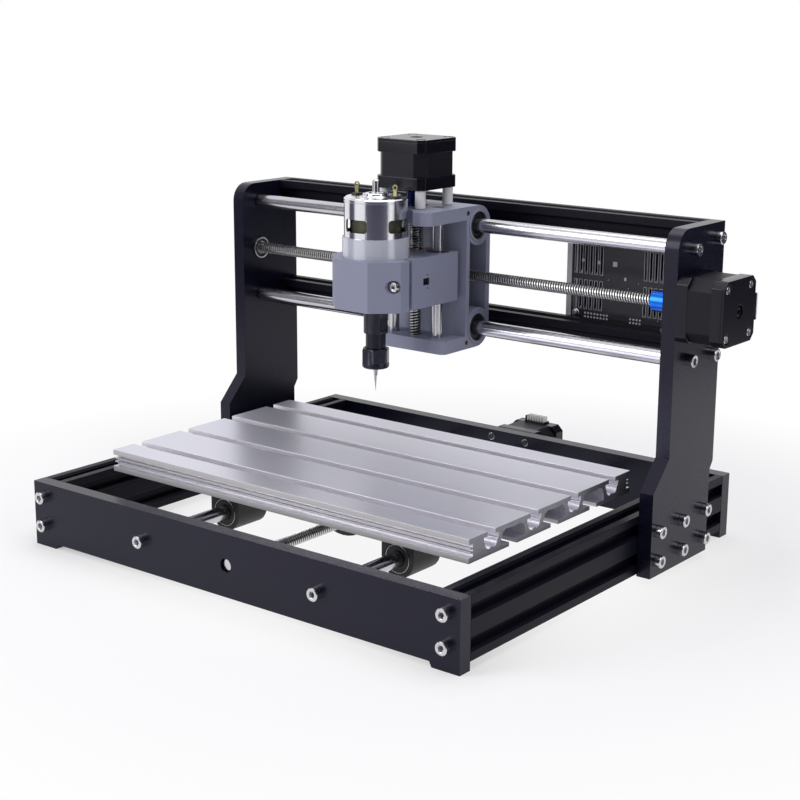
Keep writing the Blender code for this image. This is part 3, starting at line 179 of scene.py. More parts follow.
def ease_edges(bm, width, segments=2, degrees=35):
    """Round the edges that turn by more than an angle."""
    sharp = [e for e in bm.edges
             if len(e.link_faces) == 2 and e.calc_face_angle() > math.radians(degrees)]
    if width and sharp:
        bmesh.ops.bevel(bm, geom=sharp, offset=width, offset_type="OFFSET", segments=segments,
                        profile=0.5, affect="EDGES", clamp_overlap=True)


def to_mesh(bm, name="shape"):
    mesh = bpy.data.meshes.new(name)
    bm.to_mesh(mesh)
    bm.free()
    return mesh


def eased_copy(node, width, segments=2, degrees=35):
    """The mesh of a CAD node with its flat faces made whole and its edges eased."""
    bm = bmesh.new()
    bm.from_mesh(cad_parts[node].data)
    bmesh.ops.remove_doubles(bm, verts=bm.verts, dist=1e-6)
    bmesh.ops.dissolve_limit(bm, angle_limit=math.radians(1.0), verts=bm.verts, edges=bm.edges)
    ease_edges(bm, width, segments, degrees)
    return to_mesh(bm)


def add(name, data):
    obj = bpy.data.objects.new(name, data)
    bpy.context.scene.collection.objects.link(obj)
    return obj


def piece(name, meshes, material, body, node=None, at=(0.0, 0.0, 0.0), turn=None):
    """One piece of the machine on its body; it may stand in for a CAD node of its own."""
    bm = bmesh.new()
    for mesh in meshes:
        bm.from_mesh(mesh)
        bpy.data.meshes.remove(mesh)
    made = to_mesh(bm, name)
    if turn:
        made.transform(turn)
    made.transform(Matrix.Translation(at))
    made.materials.append(material)
    even(made)
    obj = add(name, made)
    flats = obj.modifiers.new("flat_faces", "WEIGHTED_NORMAL")
    flats.keep_sharp = True
    flats.weight = 100
    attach(obj, body)
    if node:
        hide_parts(node)


def eased_piece(name, node, width, material, body, segments=2, degrees=35):
    piece(name, [eased_copy(node, width, segments, degrees)], material, body, node=node)


# Phenolic sheet is near black with a cool cast, satin, with a fine pressed texture.
BLACK_SHEET = Finish("black_sheet", {"IOR": 1.5, "Specular IOR Level": 0.30,
                                     "Specular Tint": (0.84, 0.82, 1.0)}).mottle(
    (14.0, 3.0), (0.0038, 0.0038, 0.0115), (0.0058, 0.0056, 0.0155), (1800.0, 2.0),
    (0.22, 0.06), (0.00002, 0.5), drift=0.04)
for plate in ("front_plate", "rear_plate"):
    eased_piece(f"{plate}_eased", plate, 0.5 * MM, BLACK_SHEET, "frame")


# ---- Side profiles ----
# Two lengths of 20 x 40 slotted aluminium extrusion, black anodised, sawn square and bolted
# between the end plates.  The die leaves faint lines along their length.
def black_extrusion_finish(name, along):
    stretch = [60.0, 60.0, 60.0]
    stretch[along] = 1.0
    f = Finish(name, {"Metallic": 0.1, "IOR": 1.45, "Specular IOR Level": 0.15})
    return f.mottle((20.0, 2.0), (0.0030, 0.0029, 0.0080), (0.0050, 0.0048, 0.0115),
                    (50.0, 3.0, stretch), (0.34, 0.16), (0.00002, 0.5))


ALONG_X, ALONG_Y, ALONG_Z = 0, 1, 2
SIDE_EXTRUSION = black_extrusion_finish("black_extrusion_y", ALONG_Y)
for side in ("left", "right"):
    eased_piece(f"{side}_side_extrusion", f"{side}_side_profile", 0.3 * MM, SIDE_EXTRUSION,
                "frame")


# ---- Gantry plates ----
# Upright plates of the same black sheet.  Each is bolted to the outside of a side profile by its
# wide foot, and holds the ends of the X rods and of the two gantry beams.
for side in ("left", "right"):
    plate = f"{side}_gantry_plate"
    eased_piece(f"{plate}_eased", plate, 0.6 * MM, BLACK_SHEET, "frame", 3)


# ---- Gantry beams ----
# Two 20 x 20 slotted extrusions that tie the gantry plates together behind the carriage.
BEAM_EXTRUSION = black_extrusion_finish("black_extrusion_x", ALONG_X)
for level in ("upper", "lower"):
    eased_piece(f"{level}_beam", f"{level}_gantry_profile", 0.3 * MM, BEAM_EXTRUSION,
                "frame")


# ---- Frame screws ----
# Zinc-plated M5 socket screws with tall round heads: two into each end of a side profile, one
# into each rod and beam end, and six through each gantry plate's foot.
def plated_steel_finish(name, colour, roughness):
    """Bright plated or turned steel with fine scratches and a little dulling."""
    dull = tuple(channel * 0.72 for channel in colour)
    return Finish(name, {"Metallic": 1.0}).mottle(
        (400.0, 3.0), colour, dull, (2500.0, 2.0, (1.0, 0.2, 1.0)), (roughness, 0.14),
        (0.00001, 0.3))


TURNS = {
    "X": Matrix.Rotation(math.pi / 2, 4, "Y"),
    "-X": Matrix.Rotation(-math.pi / 2, 4, "Y"),
    "Y": Matrix.Rotation(-math.pi / 2, 4, "X"),
    "-Y": Matrix.Rotation(math.pi / 2, 4, "X"),
    "Z": Matrix.Identity(4),
    "-Z": Matrix.Rotation(math.pi, 4, "X"),
}


def moved(mesh, at, turn=TURNS["Z"]):
    """The mesh, turned and then moved."""
    mesh.transform(Matrix.Translation(at) @ turn)
    return mesh


def reach(radius, sides, angle):
    """Distance from the axis to a polygon's edge at an angle; a polygon of 0 sides is a circle."""
    if not sides:
        return radius
    step = 2 * math.pi / sides
    return radius * math.cos(step / 2) / math.cos(angle % step - step / 2)


def turned(rings, ease=0.0, segments=48, hollow=False):
    """A shape about Z from (radius, height) or (radius, height, sides) rings joined in order."""
    bm = bmesh.new()
    loops = []
    for radius, height, *sides in rings:
        loop = []
        for i in range(segments):
            angle = 2 * math.pi * i / segments
            r = reach(radius, sides[0] if sides else 0, angle)
            loop.append(bm.verts.new((r * math.cos(angle), r * math.sin(angle), height)))
        loops.append(loop)
    pairs = list(zip(loops, loops[1:]))
    if hollow:
        pairs.append((loops[-1], loops[0]))
    for low, high in pairs:
        for i in range(segments):
            j = (i + 1) % segments
            bm.faces.new((low[i], low[j], high[j], high[i]))
    if not hollow:
        bm.faces.new(reversed(loops[0]))
        bm.faces.new(loops[-1])
    bmesh.ops.recalc_face_normals(bm, faces=bm.faces)
    ease_edges(bm, ease)
    return to_mesh(bm)


HEX = 6


def socket_screw(radius, height, key, segments=36):
    """A round head standing on z = 0, with a hexagon socket in its top."""
    depth = height * 0.55
    return turned([(radius * 0.97, 0.0), (radius, 0.15 * height), (radius, height - 0.1 * radius),
                   (radius * 0.90, height), (key * 1.08, height), (key, height - 0.1 * key, HEX),
                   (key, height - depth, HEX)], segments=segments)


def centre(node):
    low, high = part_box(node)
    return (low + high) / 2


ZINC = plated_steel_finish("zinc_plated_steel", (0.72, 0.72, 0.74), 0.16)
M5_HEAD, M5_HEIGHT, M5_KEY = 4.25 * MM, 5.0 * MM, 2.3 * MM
BOLT_RISE = 10.0 * MM
FOOT_BOLT_INSET, FOOT_BOLT_PITCH = 7.3 * MM, 30.5 * MM


def frame_screw(name, at, facing):
    piece(name, [socket_screw(M5_HEAD, M5_HEIGHT, M5_KEY)], ZINC, "frame",
          at=at, turn=TURNS[facing])


for end, facing in (("front", "-Y"), ("rear", "Y")):
    low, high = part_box(f"{end}_plate")
    face_y = low.y if end == "front" else high.y
    for side in ("left", "right"):
        bar = centre(f"{side}_side_profile")
        rod = centre(f"{side}_y_rod")
        for row, rise in (("low", -BOLT_RISE), ("high", BOLT_RISE)):
            frame_screw(f"{end}_{side}_{row}_screw", (bar.x, face_y, bar.z + rise), facing)
        frame_screw(f"{end}_{side}_rod_screw", (rod.x, face_y, rod.z), facing)

for side, facing in (("left", "-X"), ("right", "X")):
    low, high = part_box(f"{side}_gantry_plate")
    face_x = low.x if side == "left" else high.x
    bar = centre(f"{side}_side_profile")
    for column in range(3):
        y = low.y + FOOT_BOLT_INSET + column * FOOT_BOLT_PITCH
        for row, rise in (("low", -BOLT_RISE), ("high", BOLT_RISE)):
            frame_screw(f"{side}_foot_{row}_screw_{column}", (face_x, y, bar.z + rise), facing)
    for end_of in ("upper_x_rod", "lower_x_rod", "upper_gantry_profile", "lower_gantry_profile"):
        held = centre(end_of)
        frame_screw(f"{side}_{end_of}_screw", (face_x, held.y, held.z), facing)


# ---- Guide rods ----
# Hard-chromed, centreless-ground steel rods: 10 mm for X and Y, 8 mm for Z.  Their ends are
# chamfered and drilled for the screws.
def ground_rod_finish(name, along):
    stretch = [0.15, 0.15, 0.15]
    stretch[along] = 8.0
    return Finish(name, {"Metallic": 1.0}).mottle(
        (30.0, 2.0), (0.60, 0.595, 0.635), (0.52, 0.515, 0.555), (260.0, 3.0, stretch),
        (0.16, 0.10), (0.000006, 0.5))


def rod_mesh(radius, length):
    chamfer = 0.6 * MM
    half = length / 2
    return turned([(radius - chamfer, -half), (radius, -half + chamfer),
                   (radius, half - chamfer), (radius - chamfer, half)], segments=56)


def on_axis(name, meshes, material, body, node, facing, stand_in=True):
    """Round meshes laid along the axis of a CAD node, which they stand in for unless told not to."""
    piece(name, meshes, material, body, node=node if stand_in else None,
          at=centre(node), turn=TURNS[facing])


AXES = ("X", "Y", "Z")


def round_size(node, along):
    """Half the length of a round node along an axis, and its radius."""
    low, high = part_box(node)
    size = high - low
    return size[along] / 2, size[(along + 1) % 3] / 2


for body, along, nodes in (("frame", ALONG_X, ("upper_x_rod", "lower_x_rod")),
                           ("frame", ALONG_Y, ("left_y_rod", "right_y_rod")),
                           ("x_carriage", ALONG_Z, ("left_z_rod", "right_z_rod"))):
    material = ground_rod_finish(f"ground_rod_{AXES[along].lower()}", along)
    for node in nodes:
        half, radius = round_size(node, along)
        on_axis(f"{node}_ground", [rod_mesh(radius, 2 * half)], material, body,
                node, AXES[along])


# ---- Lead screws ----
# Rolled two-start trapezoidal screws of 8 mm, 2 mm from thread to thread and 4 mm a turn, with
# plain turned ends that are left bright.  The roots of the thread are painted near black, as painted
# shade.
SCREW_ROOT, SCREW_CREST = 3.0 * MM, 4.0 * MM
THREAD_PITCH, THREAD_STARTS = 2.0 * MM, 2
THREAD_STEPS = 20


def lead_screw_finish(name, along, axis_at):
    f = Finish(name, {"Metallic": 1.0})
    across = [1.0, 1.0, 1.0]
    across[along] = 0.0
    off_axis = f.vector("MULTIPLY", f.vector("SUBTRACT", f.place, tuple(axis_at)), across)
    high = f.ramp(f.vector("LENGTH", off_axis, out="Value"), SCREW_ROOT, SCREW_CREST)
    cloud = f.noise(300.0, 3.0)
    bright = f.mix(cloud, (0.74, 0.73, 0.73), (0.60, 0.59, 0.59))
    # Painted shade: the thread's roots are near black and its crests bright.
    f.feed({
        "Base Color": f.mix(high, (0.030, 0.029, 0.028), bright),
        "Roughness": 0.42 - 0.20 * high + 0.10 * cloud,
    })
    return f.material


def thread_mesh(length):
    """The helical surface, from z = -length / 2, as a few teeth's section swept up and round."""
    lead = THREAD_PITCH * THREAD_STARTS
    turns = int(length / lead) - 1
    section = ((0.00, SCREW_ROOT), (0.30, SCREW_ROOT), (0.50, SCREW_CREST), (0.80, SCREW_CREST))
    profile = [(start + share, radius) for start in range(THREAD_STARTS)
               for share, radius in section] + [(float(THREAD_STARTS), SCREW_ROOT)]
    bm = bmesh.new()
    columns = []
    for step in range(turns * THREAD_STEPS + 1):
        angle = 2 * math.pi * step / THREAD_STEPS
        rise = lead * step / THREAD_STEPS - length / 2 + lead / 4
        columns.append([bm.verts.new((radius * math.cos(angle), radius * math.sin(angle),
                                      rise + share * THREAD_PITCH))
                        for share, radius in profile])
    for this, after in zip(columns, columns[1:]):
        for i in range(len(profile) - 1):
            bm.faces.new((this[i], after[i], after[i + 1], this[i + 1]))
    bmesh.ops.remove_doubles(bm, verts=bm.verts, dist=1e-6)
    bmesh.ops.recalc_face_normals(bm, faces=bm.faces)
    return to_mesh(bm)


def screw_end(low, high):
    """A plain turned journal that closes one end of the thread."""
    chamfer = 0.5 * MM
    radius = SCREW_CREST - 0.02 * MM
    return turned([(radius - chamfer, low), (radius, low + chamfer),
                   (radius, high - chamfer), (radius - chamfer, high)])


END_LENGTH = 5.0 * MM
for along, body in ((ALONG_X, "x_screw"), (ALONG_Y, "y_screw"), (ALONG_Z, "z_screw")):
    node = f"{AXES[along].lower()}_lead_screw"
    half = round_size(node, along)[0]
    material = lead_screw_finish(f"{node}_steel", along, centre(node))
    on_axis(f"{node}_thread", [thread_mesh(2 * half)], material, body, node,
            AXES[along])
    ends = [screw_end(-half, -half + END_LENGTH), screw_end(half - END_LENGTH, half)]
    on_axis(f"{node}_journals", ends, ZINC, body, node, AXES[along], False)


# ---- Screw end bearings ----
# Small flanged ball bearings pressed into the front plate and the left gantry plate, where they
# steady the free ends of the lead screws.  A black shield closes the gap between their rings.
BEARING_STEEL = plated_steel_finish("bearing_steel", (0.66, 0.66, 0.68), 0.14)
BLACK_SEAL = Finish("black_seal", {"IOR": 1.5}).mottle(
    (900.0, 2.0), (0.0045, 0.0045, 0.0055), (0.0080, 0.0080, 0.0090), (900.0, 2.0),
    (0.48, 0.15), (0.00002, 0.4))


def ring(outer, inner, low, high, ease=0.2 * MM, segments=48):
    return turned([(outer, low), (outer, high), (inner, high), (inner, low)], ease, segments,
                  hollow=True)


for face in ("X", "Y"):
    node = f"{face.lower()}_screw_bearing"
    half, flange = round_size(node, AXES.index(face))
    race = flange - 1.4 * MM
    rings = [ring(flange - 1.1 * MM, race, -half, half - 1.1 * MM),
             ring(flange, race, half - 1.1 * MM, half),
             ring(5.1 * MM, 4.3 * MM, -half, half - 0.4 * MM)]
    on_axis(f"{node}_rings", rings, BEARING_STEEL, "frame", node, face)
    shields = [ring(race + 0.05 * MM, 5.0 * MM, half - 0.9 * MM, half - 0.5 * MM, 0)]
    on_axis(f"{node}_shield", shields, BLACK_SEAL, "frame", node, face, False)


# ---- Couplers and motor shafts ----
# Turned aluminium couplers, anodised blue, that grip a lead screw at one end and a motor shaft at
# the other, with two grub screws in each half and a wide mouth at each end.  The Z coupler's blue
# is painted dark navy, as painted shade from the motor over it.
def blue_anodised_finish(name, bright, dull):
    return Finish(name, {"Metallic": 0.9}).mottle(
        (60.0, 2.0), bright, dull, (700.0, 2.0), (0.20, 0.06), (0.000004, 0.3))


BLUE_ANODISED = blue_anodised_finish("blue_anodised", (0.014, 0.135, 0.66), (0.012, 0.115, 0.58))
# Painted shade: the same blue anodising, darkened to navy for the shade under the Z motor.
SHADED_BLUE_ANODISED = blue_anodised_finish("blue_anodised_painted_shade", (0.008, 0.016, 0.085), (0.006, 0.012, 0.065))
GRUB_STEEL = plated_steel_finish("grub_screw_steel", (0.10, 0.10, 0.11), 0.30)
SHAFT_RADIUS = 2.5 * MM


def coupler(axis, body, anodised):
    node = f"{axis}_coupler"
    facing = axis.upper()
    along = AXES.index(facing)
    half, radius = round_size(node, along)
    groove, mouth, bore = 0.35 * MM, 5.8 * MM, 4.3 * MM
    step = half - 1.0 * MM
    barrel = turned([(radius, -half), (radius, -groove), (radius - groove, -groove),
                     (radius - groove, groove), (radius, groove), (radius, half),
                     (mouth, half), (mouth, step), (bore, step), (bore, -step), (mouth, -step),
                     (mouth, -half)], 0.3 * MM, hollow=True)
    on_axis(f"{node}_barrel", [barrel], anodised, body, node, facing)
    for end in (-1, 1):
        for quarter in (0, 1):
            grub = moved(socket_screw(2.0 * MM, 0.5 * MM, 1.0 * MM, 24),
                         (0, 0, radius - 0.35 * MM))
            outward = Matrix.Rotation(quarter * math.pi / 2, 4, "Z") @ TURNS["X"]
            moved(grub, (0, 0, end * half * 0.55), outward)
            on_axis(f"{node}_grub_{end + 1}{quarter}", [grub], GRUB_STEEL, body,
                    node, facing, False)
    shaft = f"{axis}_motor_shaft"
    bar = rod_mesh(SHAFT_RADIUS, 2 * round_size(shaft, along)[0])
    on_axis(f"{shaft}_ground", [bar], BEARING_STEEL, body, shaft, facing)


coupler("x", "x_screw", BLUE_ANODISED)
coupler("y", "y_screw", BLUE_ANODISED)
coupler("z", "z_screw", SHADED_BLUE_ANODISED)


# ---- Stepping motors ----
# Three square stepping motors.  Each is a stack of laminations between two die-cast caps, all
# enamelled black, held together by four long screws whose heads sit in the rear cap.
VARNISH = {"IOR": 1.5, "Specular IOR Level": 0.25, "Specular Tint": (0.86, 0.85, 1.0)}


def lamination_finish(name, along):
    """Edges of stacked steel sheets, varnished black."""
    f = Finish(name, VARNISH)
    seam = (f.along(along) * 2000.0) % 1.0 > 0.82
    cloud = f.noise(90.0, 3.0)
    f.feed({
        "Base Color": f.mix(cloud, (0.0040, 0.0038, 0.0056), (0.0075, 0.0072, 0.0096)),
        "Roughness": 0.34 + 0.16 * cloud + 0.12 * seam,
        "Normal": f.bump(1.0 - seam, 0.00004, 0.5),
    })
    return f.material


def chamfered_square(side, corner):
    half = side / 2
    inner = half - corner
    return [(-inner, -half), (inner, -half), (half, -inner), (half, inner), (inner, half),
            (-inner, half), (-half, inner), (-half, -inner)]


def circle(x, y, radius, segments=32):
    return [(x + radius * math.cos(2 * math.pi * i / segments),
             y + radius * math.sin(2 * math.pi * i / segments)) for i in range(segments)]


def prism(loops, low, high, ease=0.0, segments=2):
    """A flat outline, whose later loops are holes, between two heights on Z."""
    bm = bmesh.new()
    for loop in loops:
        verts = [bm.verts.new((x, y, low)) for x, y in loop]
        for first, second in zip(verts, verts[1:] + verts[:1]):
            bm.edges.new((first, second))
    bmesh.ops.triangle_fill(bm, use_beauty=True, edges=bm.edges, normal=(0, 0, 1))
    grown = bmesh.ops.extrude_face_region(bm, geom=list(bm.faces))
    top = [v for v in grown["geom"] if isinstance(v, bmesh.types.BMVert)]
    bmesh.ops.translate(bm, verts=top, vec=(0, 0, high - low))
    bmesh.ops.recalc_face_normals(bm, faces=bm.faces)
    bmesh.ops.dissolve_limit(bm, angle_limit=math.radians(1.0), verts=bm.verts, edges=bm.edges)
    ease_edges(bm, ease, segments)
    return to_mesh(bm)


def box(size, at=(0, 0, 0), ease=0.3 * MM):
    bm = bmesh.new()
    bmesh.ops.create_cube(bm, size=1.0, matrix=Matrix.Diagonal((*size, 1.0)))
    ease_edges(bm, ease)
    return moved(to_mesh(bm), at)


BLACK_ENAMEL = Finish("black_enamel", {**VARNISH, "Coat Roughness": 0.08}).mottle(
    (25.0, 2.0), (0.0026, 0.0026, 0.0046), (0.0046, 0.0045, 0.0070), (260.0, 1.0),
    (0.24, 0.03), (0.00001, 0.05), coat=(0.10, 0.05))
SOCKET_PLASTIC = Finish("natural_socket_plastic", {"IOR": 1.5}).mottle(
    (300.0, 2.0), (0.84, 0.83, 0.81), (0.76, 0.75, 0.73), (300.0, 2.0), (0.38, 0.12),
    (0.00003, 0.3))
MOTOR_SIDE, MOTOR_LENGTH = 42.3 * MM, 34.0 * MM
FRONT_CAP, REAR_CAP = 8.5 * MM, 9.5 * MM
CAP_CORNER, STACK_CORNER = 4.3 * MM, 7.5 * MM
MOTOR_SCREW = 15.5 * MM


def stepping_motor(axis, body, turn, at, along):
    """A motor whose mounting face is at a point, running away from it along the turned Z axis."""
    name = f"{axis}_motor"
    corners = [(i * MOTOR_SCREW, j * MOTOR_SCREW) for i in (-1, 1) for j in (-1, 1)]
    square = chamfered_square(MOTOR_SIDE, CAP_CORNER)
    lid = MOTOR_LENGTH - 1.8 * MM
    front = prism([square, circle(0, 0, 3.0 * MM)], 0.0, FRONT_CAP, 0.6 * MM)
    boss = ring(11.0 * MM, 3.0 * MM, -2.0 * MM, 0.2 * MM, 0.3 * MM)
    rear = prism([square], MOTOR_LENGTH - REAR_CAP, lid, 0.5 * MM)
    holes = [circle(x, y, 3.3 * MM) for x, y in corners] + [circle(0, 0, 4.4 * MM)]
    cover = prism([square] + holes, lid - 0.2 * MM, MOTOR_LENGTH, 0.45 * MM)
    hub = ring(3.2 * MM, 1.6 * MM, lid, MOTOR_LENGTH - 0.7 * MM)
    piece(f"{name}_caps", [front, boss, rear, cover, hub], BLACK_ENAMEL, body,
          node=name, at=at, turn=turn)
    stack = prism([chamfered_square(MOTOR_SIDE - 0.4 * MM, STACK_CORNER)],
                  FRONT_CAP - 0.3 * MM, MOTOR_LENGTH - REAR_CAP + 0.3 * MM)
    piece(f"{name}_laminations", [stack], lamination_finish(f"{name}_laminations", along), body,
          at=at, turn=turn)
    heads = [moved(socket_screw(2.8 * MM, 1.5 * MM, 1.1 * MM, 30), (x, y, lid))
             for x, y in corners]
    piece(f"{name}_screws", heads, ZINC, body, at=at, turn=turn)


def motor_socket(axis, body, turn, at, rise, sides):
    """The plug socket on a motor's rear cap: a black block with a white six-way header in it."""
    name = f"{axis}_motor_socket"
    middle = MOTOR_LENGTH - REAR_CAP / 2
    edge = MOTOR_SIDE / 2 + rise
    block = box((17.5 * MM, 3.4 * MM + rise, 8.6 * MM),
                (0, edge - rise / 2 - 0.8 * MM, middle - 0.2 * MM))
    tab = box((1.6 * MM, 4.4 * MM, 5.6 * MM), (8.6 * MM, edge + 2.0 * MM, middle))
    piece(f"{name}_block", [block, tab], BLACK_ENAMEL, body, at=at, turn=turn)
    walls = [box((15.4 * MM, 4.2 * MM, 0.7 * MM),
                 (0, edge + 2.6 * MM, middle + side * 2.5 * MM), 0.1 * MM) for side in sides]
    walls += [box((0.8 * MM, 4.4 * MM, 5.4 * MM),
                  (i * 2.42 * MM, edge + 2.8 * MM, middle), 0.1 * MM) for i in range(-3, 4)]
    piece(f"{name}_header", walls, SOCKET_PLASTIC, body, at=at, turn=turn)


motor_at = {}
for along, axis, body, quarters, rise, sides in (
        (ALONG_X, "x", "frame", 0, 2.6 * MM, (-1, 1)),
        (ALONG_Y, "y", "frame", 2, 0.4 * MM, (1,)),
        (ALONG_Z, "z", "x_carriage", 0, 0.4 * MM, (-1, 1))):
    at = centre(f"{axis}_motor")
    at[along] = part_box(f"{axis}_motor")[1][along] - MOTOR_LENGTH
    motor_at[axis] = at
    turn = TURNS[axis.upper()] @ Matrix.Rotation(quarters * math.pi / 2, 4, "Z")
    stepping_motor(axis, body, turn, at, along)
    motor_socket(axis, body, turn, at, rise, sides)

# Short M3 screws hold each frame motor through its plate, their heads on the inner face over a
# bright washer.
rear_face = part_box("rear_plate")[0].y
right_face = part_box("right_gantry_plate")[0].x
for i in (-1, 1):
    for j in (-1, 1):
        y_spot = (motor_at["y"].x + i * MOTOR_SCREW, rear_face, motor_at["y"].z + j * MOTOR_SCREW)
        x_spot = (right_face, motor_at["x"].y + i * MOTOR_SCREW, motor_at["x"].z + j * MOTOR_SCREW)
        for axis, spot, facing in (("y", y_spot, "-Y"), ("x", x_spot, "-X")):
            name = f"{axis}_motor_mount_{i + 1}{j + 1}"
            piece(f"{name}_head", [socket_screw(2.2 * MM, 1.6 * MM, 1.2 * MM)], GRUB_STEEL,
                  "frame", at=spot, turn=TURNS[facing])
            piece(f"{name}_washer", [ring(2.8 * MM, 2.3 * MM, 0.0, 0.5 * MM, 0.1 * MM)], ZINC,
                  "frame", at=spot, turn=TURNS[facing])


# ---- Slotted bed ----
# A wide aluminium extrusion, clear anodised, whose clamping slots run from side to side.  Fine
# die lines follow the slots, and the sawn ends show its section.
bed_low, bed_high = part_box("t_slot_bed")
BED_MIDDLE = (bed_low.y + bed_high.y) / 2
BED_SHOULDER = (bed_high.y - bed_low.y) / 2 - 6.0 * MM


def bed_finish():
    f = Finish("bed_anodised", {"Metallic": 0.75})
    lines = f.noise(36.0, 4.0, (0.6, 34.0, 34.0))
    cloud = f.noise(7.0, 3.0)
    specks = f.noise(1500.0, 2.0)
    facing = f.node("ShaderNodeNewGeometry", out="True Normal")
    sideways = f.along(ALONG_X, facing)
    forward = f.along(ALONG_Y, facing)
    across = f.along(ALONG_Y) - BED_MIDDLE
    end_face = sideways * sideways > 0.8
    wall = forward * forward > 0.8
    painted_shade_outer_wall = wall * (across * across > BED_SHOULDER ** 2)
    cuts = f.noise(500.0, 2.0, (1.0, 0.3, 3.0))
    body = f.mix(cloud, (0.62, 0.615, 0.715), (0.70, 0.695, 0.78))
    # Painted light and shade: faces turned to the front or back are painted lighter, as painted
    # light on the slot walls, and the bed's outer front and back walls are painted darker, as
    # painted shade.
    top = f.mix(wall, f.mix(lines * 0.5, body, (0.59, 0.59, 0.67)), (0.84, 0.82, 0.86))
    top = f.mix(painted_shade_outer_wall, top, (0.50, 0.485, 0.50))
    f.feed({
        "Base Color": f.mix(end_face, top,
                            f.mix(cuts, (0.15, 0.15, 0.17), (0.30, 0.30, 0.33))),
        "Roughness": 0.26 + 0.09 * lines + 0.05 * specks,
        "Normal": f.bump(lines * 0.6 + cuts * end_face, 0.00003, 0.5),
    })
    return f.material


BED_PITCH = 45.0 * MM


def arc(x, y, radius, start, end, steps):
    """Points along an arc given in degrees."""
    angles = [math.radians(start + (end - start) * i / steps) for i in range(steps + 1)]
    return [(x + radius * math.cos(a), y + radius * math.sin(a)) for a in angles]


def in_metres(points):
    """The points given in millimetres."""
    return [(first * MM, second * MM) for first, second in points]


def both_halves(half):
    return in_metres(half + [(-s, depth) for s, depth in reversed(half)])


def bed_outline(width, thickness):
    """End view of the bed, from the middle of its underside."""
    half = width / 2
    slot = both_halves([(-4.0, 0.0), (-4.0, 3.0), (-7.5, 3.0), (-7.5, 6.0), (-6.4, 6.6),
                        (-6.0, 8.6), (-4.6, 10.2), (-2.4, 11.0), (-1.4, 10.3)])
    channel = both_halves([(-4.0, 0.0), (-4.0, 2.7), (-12.5, 2.7), (-12.5, 7.0), (-10.6, 10.6),
                           (-7.4, 12.0), (-3.2, 11.4)])
    edge = in_metres([(0.0, 3.6), (4.0, 3.6), (4.0, 5.8), (1.4, 5.8), (1.4, 6.8), (4.0, 6.8),
                      (4.0, 8.2), (1.4, 8.2), (1.4, 9.2), (4.0, 9.2), (4.0, 11.4), (0.0, 11.4)])
    outline = [(-half, 0.0)]
    for i in (-1, 0, 1):
        outline += [(i * BED_PITCH + s, depth) for s, depth in channel]
    outline += [(half, 0.0)] + [(half - depth, z) for depth, z in edge] + [(half, thickness)]
    for i in (1.5, 0.5, -0.5, -1.5):
        outline += [(i * BED_PITCH - s, thickness - depth) for s, depth in slot]
    outline += [(-half, thickness)] + [(depth - half, z) for depth, z in reversed(edge)]
    return outline


LIE_ALONG_X = Matrix(((0, 0, 1, 0), (1, 0, 0, 0), (0, 1, 0, 0), (0, 0, 0, 1)))
bed_half = (bed_high.x - bed_low.x) / 2
bed_section = bed_outline(bed_high.y - bed_low.y, bed_high.z - bed_low.z)
piece("bed_extrusion", [prism([bed_section], -bed_half, bed_half, 0.2 * MM)], bed_finish(),
      "bed", node="t_slot_bed", turn=LIE_ALONG_X,
      at=((bed_low.x + bed_high.x) / 2, BED_MIDDLE, bed_low.z))


# ---- Slider blocks under the bed ----
# Moulded black blocks hung from the bed's channels, each with a linear ball bearing for its rod,
# and a wider block in the middle that holds the Y nut.
BLACK_PLASTIC = Finish("black_moulded_plastic", {"IOR": 1.48}).mottle(
    (40.0, 2.0), (0.0060, 0.0060, 0.0080), (0.0100, 0.0100, 0.0125), (1300.0, 3.0),
    (0.42, 0.18), (0.00005, 0.5))


def linear_bearing(node, body, axis):
    """Steel sleeve with a groove near each end, closed by a black seal that rides on the rod."""
    half, outer = round_size(node, AXES.index(axis))
    lip = outer - 0.35 * MM
    bore = outer * 0.56
    root = outer - 0.5 * MM
    far = half - 3.2 * MM
    near = far - 1.1 * MM
    shell = turned([(outer, -half), (outer, -far), (root, -far), (root, -near), (outer, -near),
                    (outer, near), (root, near), (root, far), (outer, far), (outer, half),
                    (lip, half), (lip, -half)], 0.12 * MM, hollow=True)
    on_axis(f"{node}_sleeve", [shell], BEARING_STEEL, body, node, axis)
    seals = [ring(lip + 0.05 * MM, bore, -half + 0.5 * MM, -half + 1.9 * MM),
             ring(lip + 0.05 * MM, bore, half - 1.9 * MM, half - 0.5 * MM)]
    on_axis(f"{node}_seals", seals, BLACK_SEAL, body, node, axis, False)


for end in ("front", "rear"):
    for side in ("left", "right"):
        block = f"{end}_{side}_slider"
        eased_piece(f"{block}_moulding", block, 0.5 * MM, BLACK_PLASTIC, "bed")
        linear_bearing(f"{end}_{side}_bearing", "bed", "Y")

# The nut's block is shallower below its screw than above it, outside the nut's own seat.
NUT_SEAT, SHALLOWER = 12.0 * MM, 0.58
nut_block = eased_copy("bed_nut_block", 0.5 * MM)
nut_axis = centre("y_lead_screw")
for vertex in nut_block.vertices:
    below = nut_axis.z - vertex.co.z
    if below > 0 and math.hypot(vertex.co.x - nut_axis.x, below) > NUT_SEAT:
        vertex.co.z = nut_axis.z - SHALLOWER * below
piece("bed_nut_block_moulding", [nut_block], BLACK_PLASTIC, "bed",
      node="bed_nut_block")


# ---- Lead-screw nuts ----
# Turned brass nuts with a flange and four screw holes round it.
def brass_finish(name, bright, dull):
    return Finish(name, {"Metallic": 1.0}).mottle(
        (200.0, 2.0), bright, dull, (900.0, 2.0), (0.26, 0.14), (0.00001, 0.4))


BRASS = brass_finish("turned_brass", (0.62, 0.43, 0.16), (0.46, 0.31, 0.12))


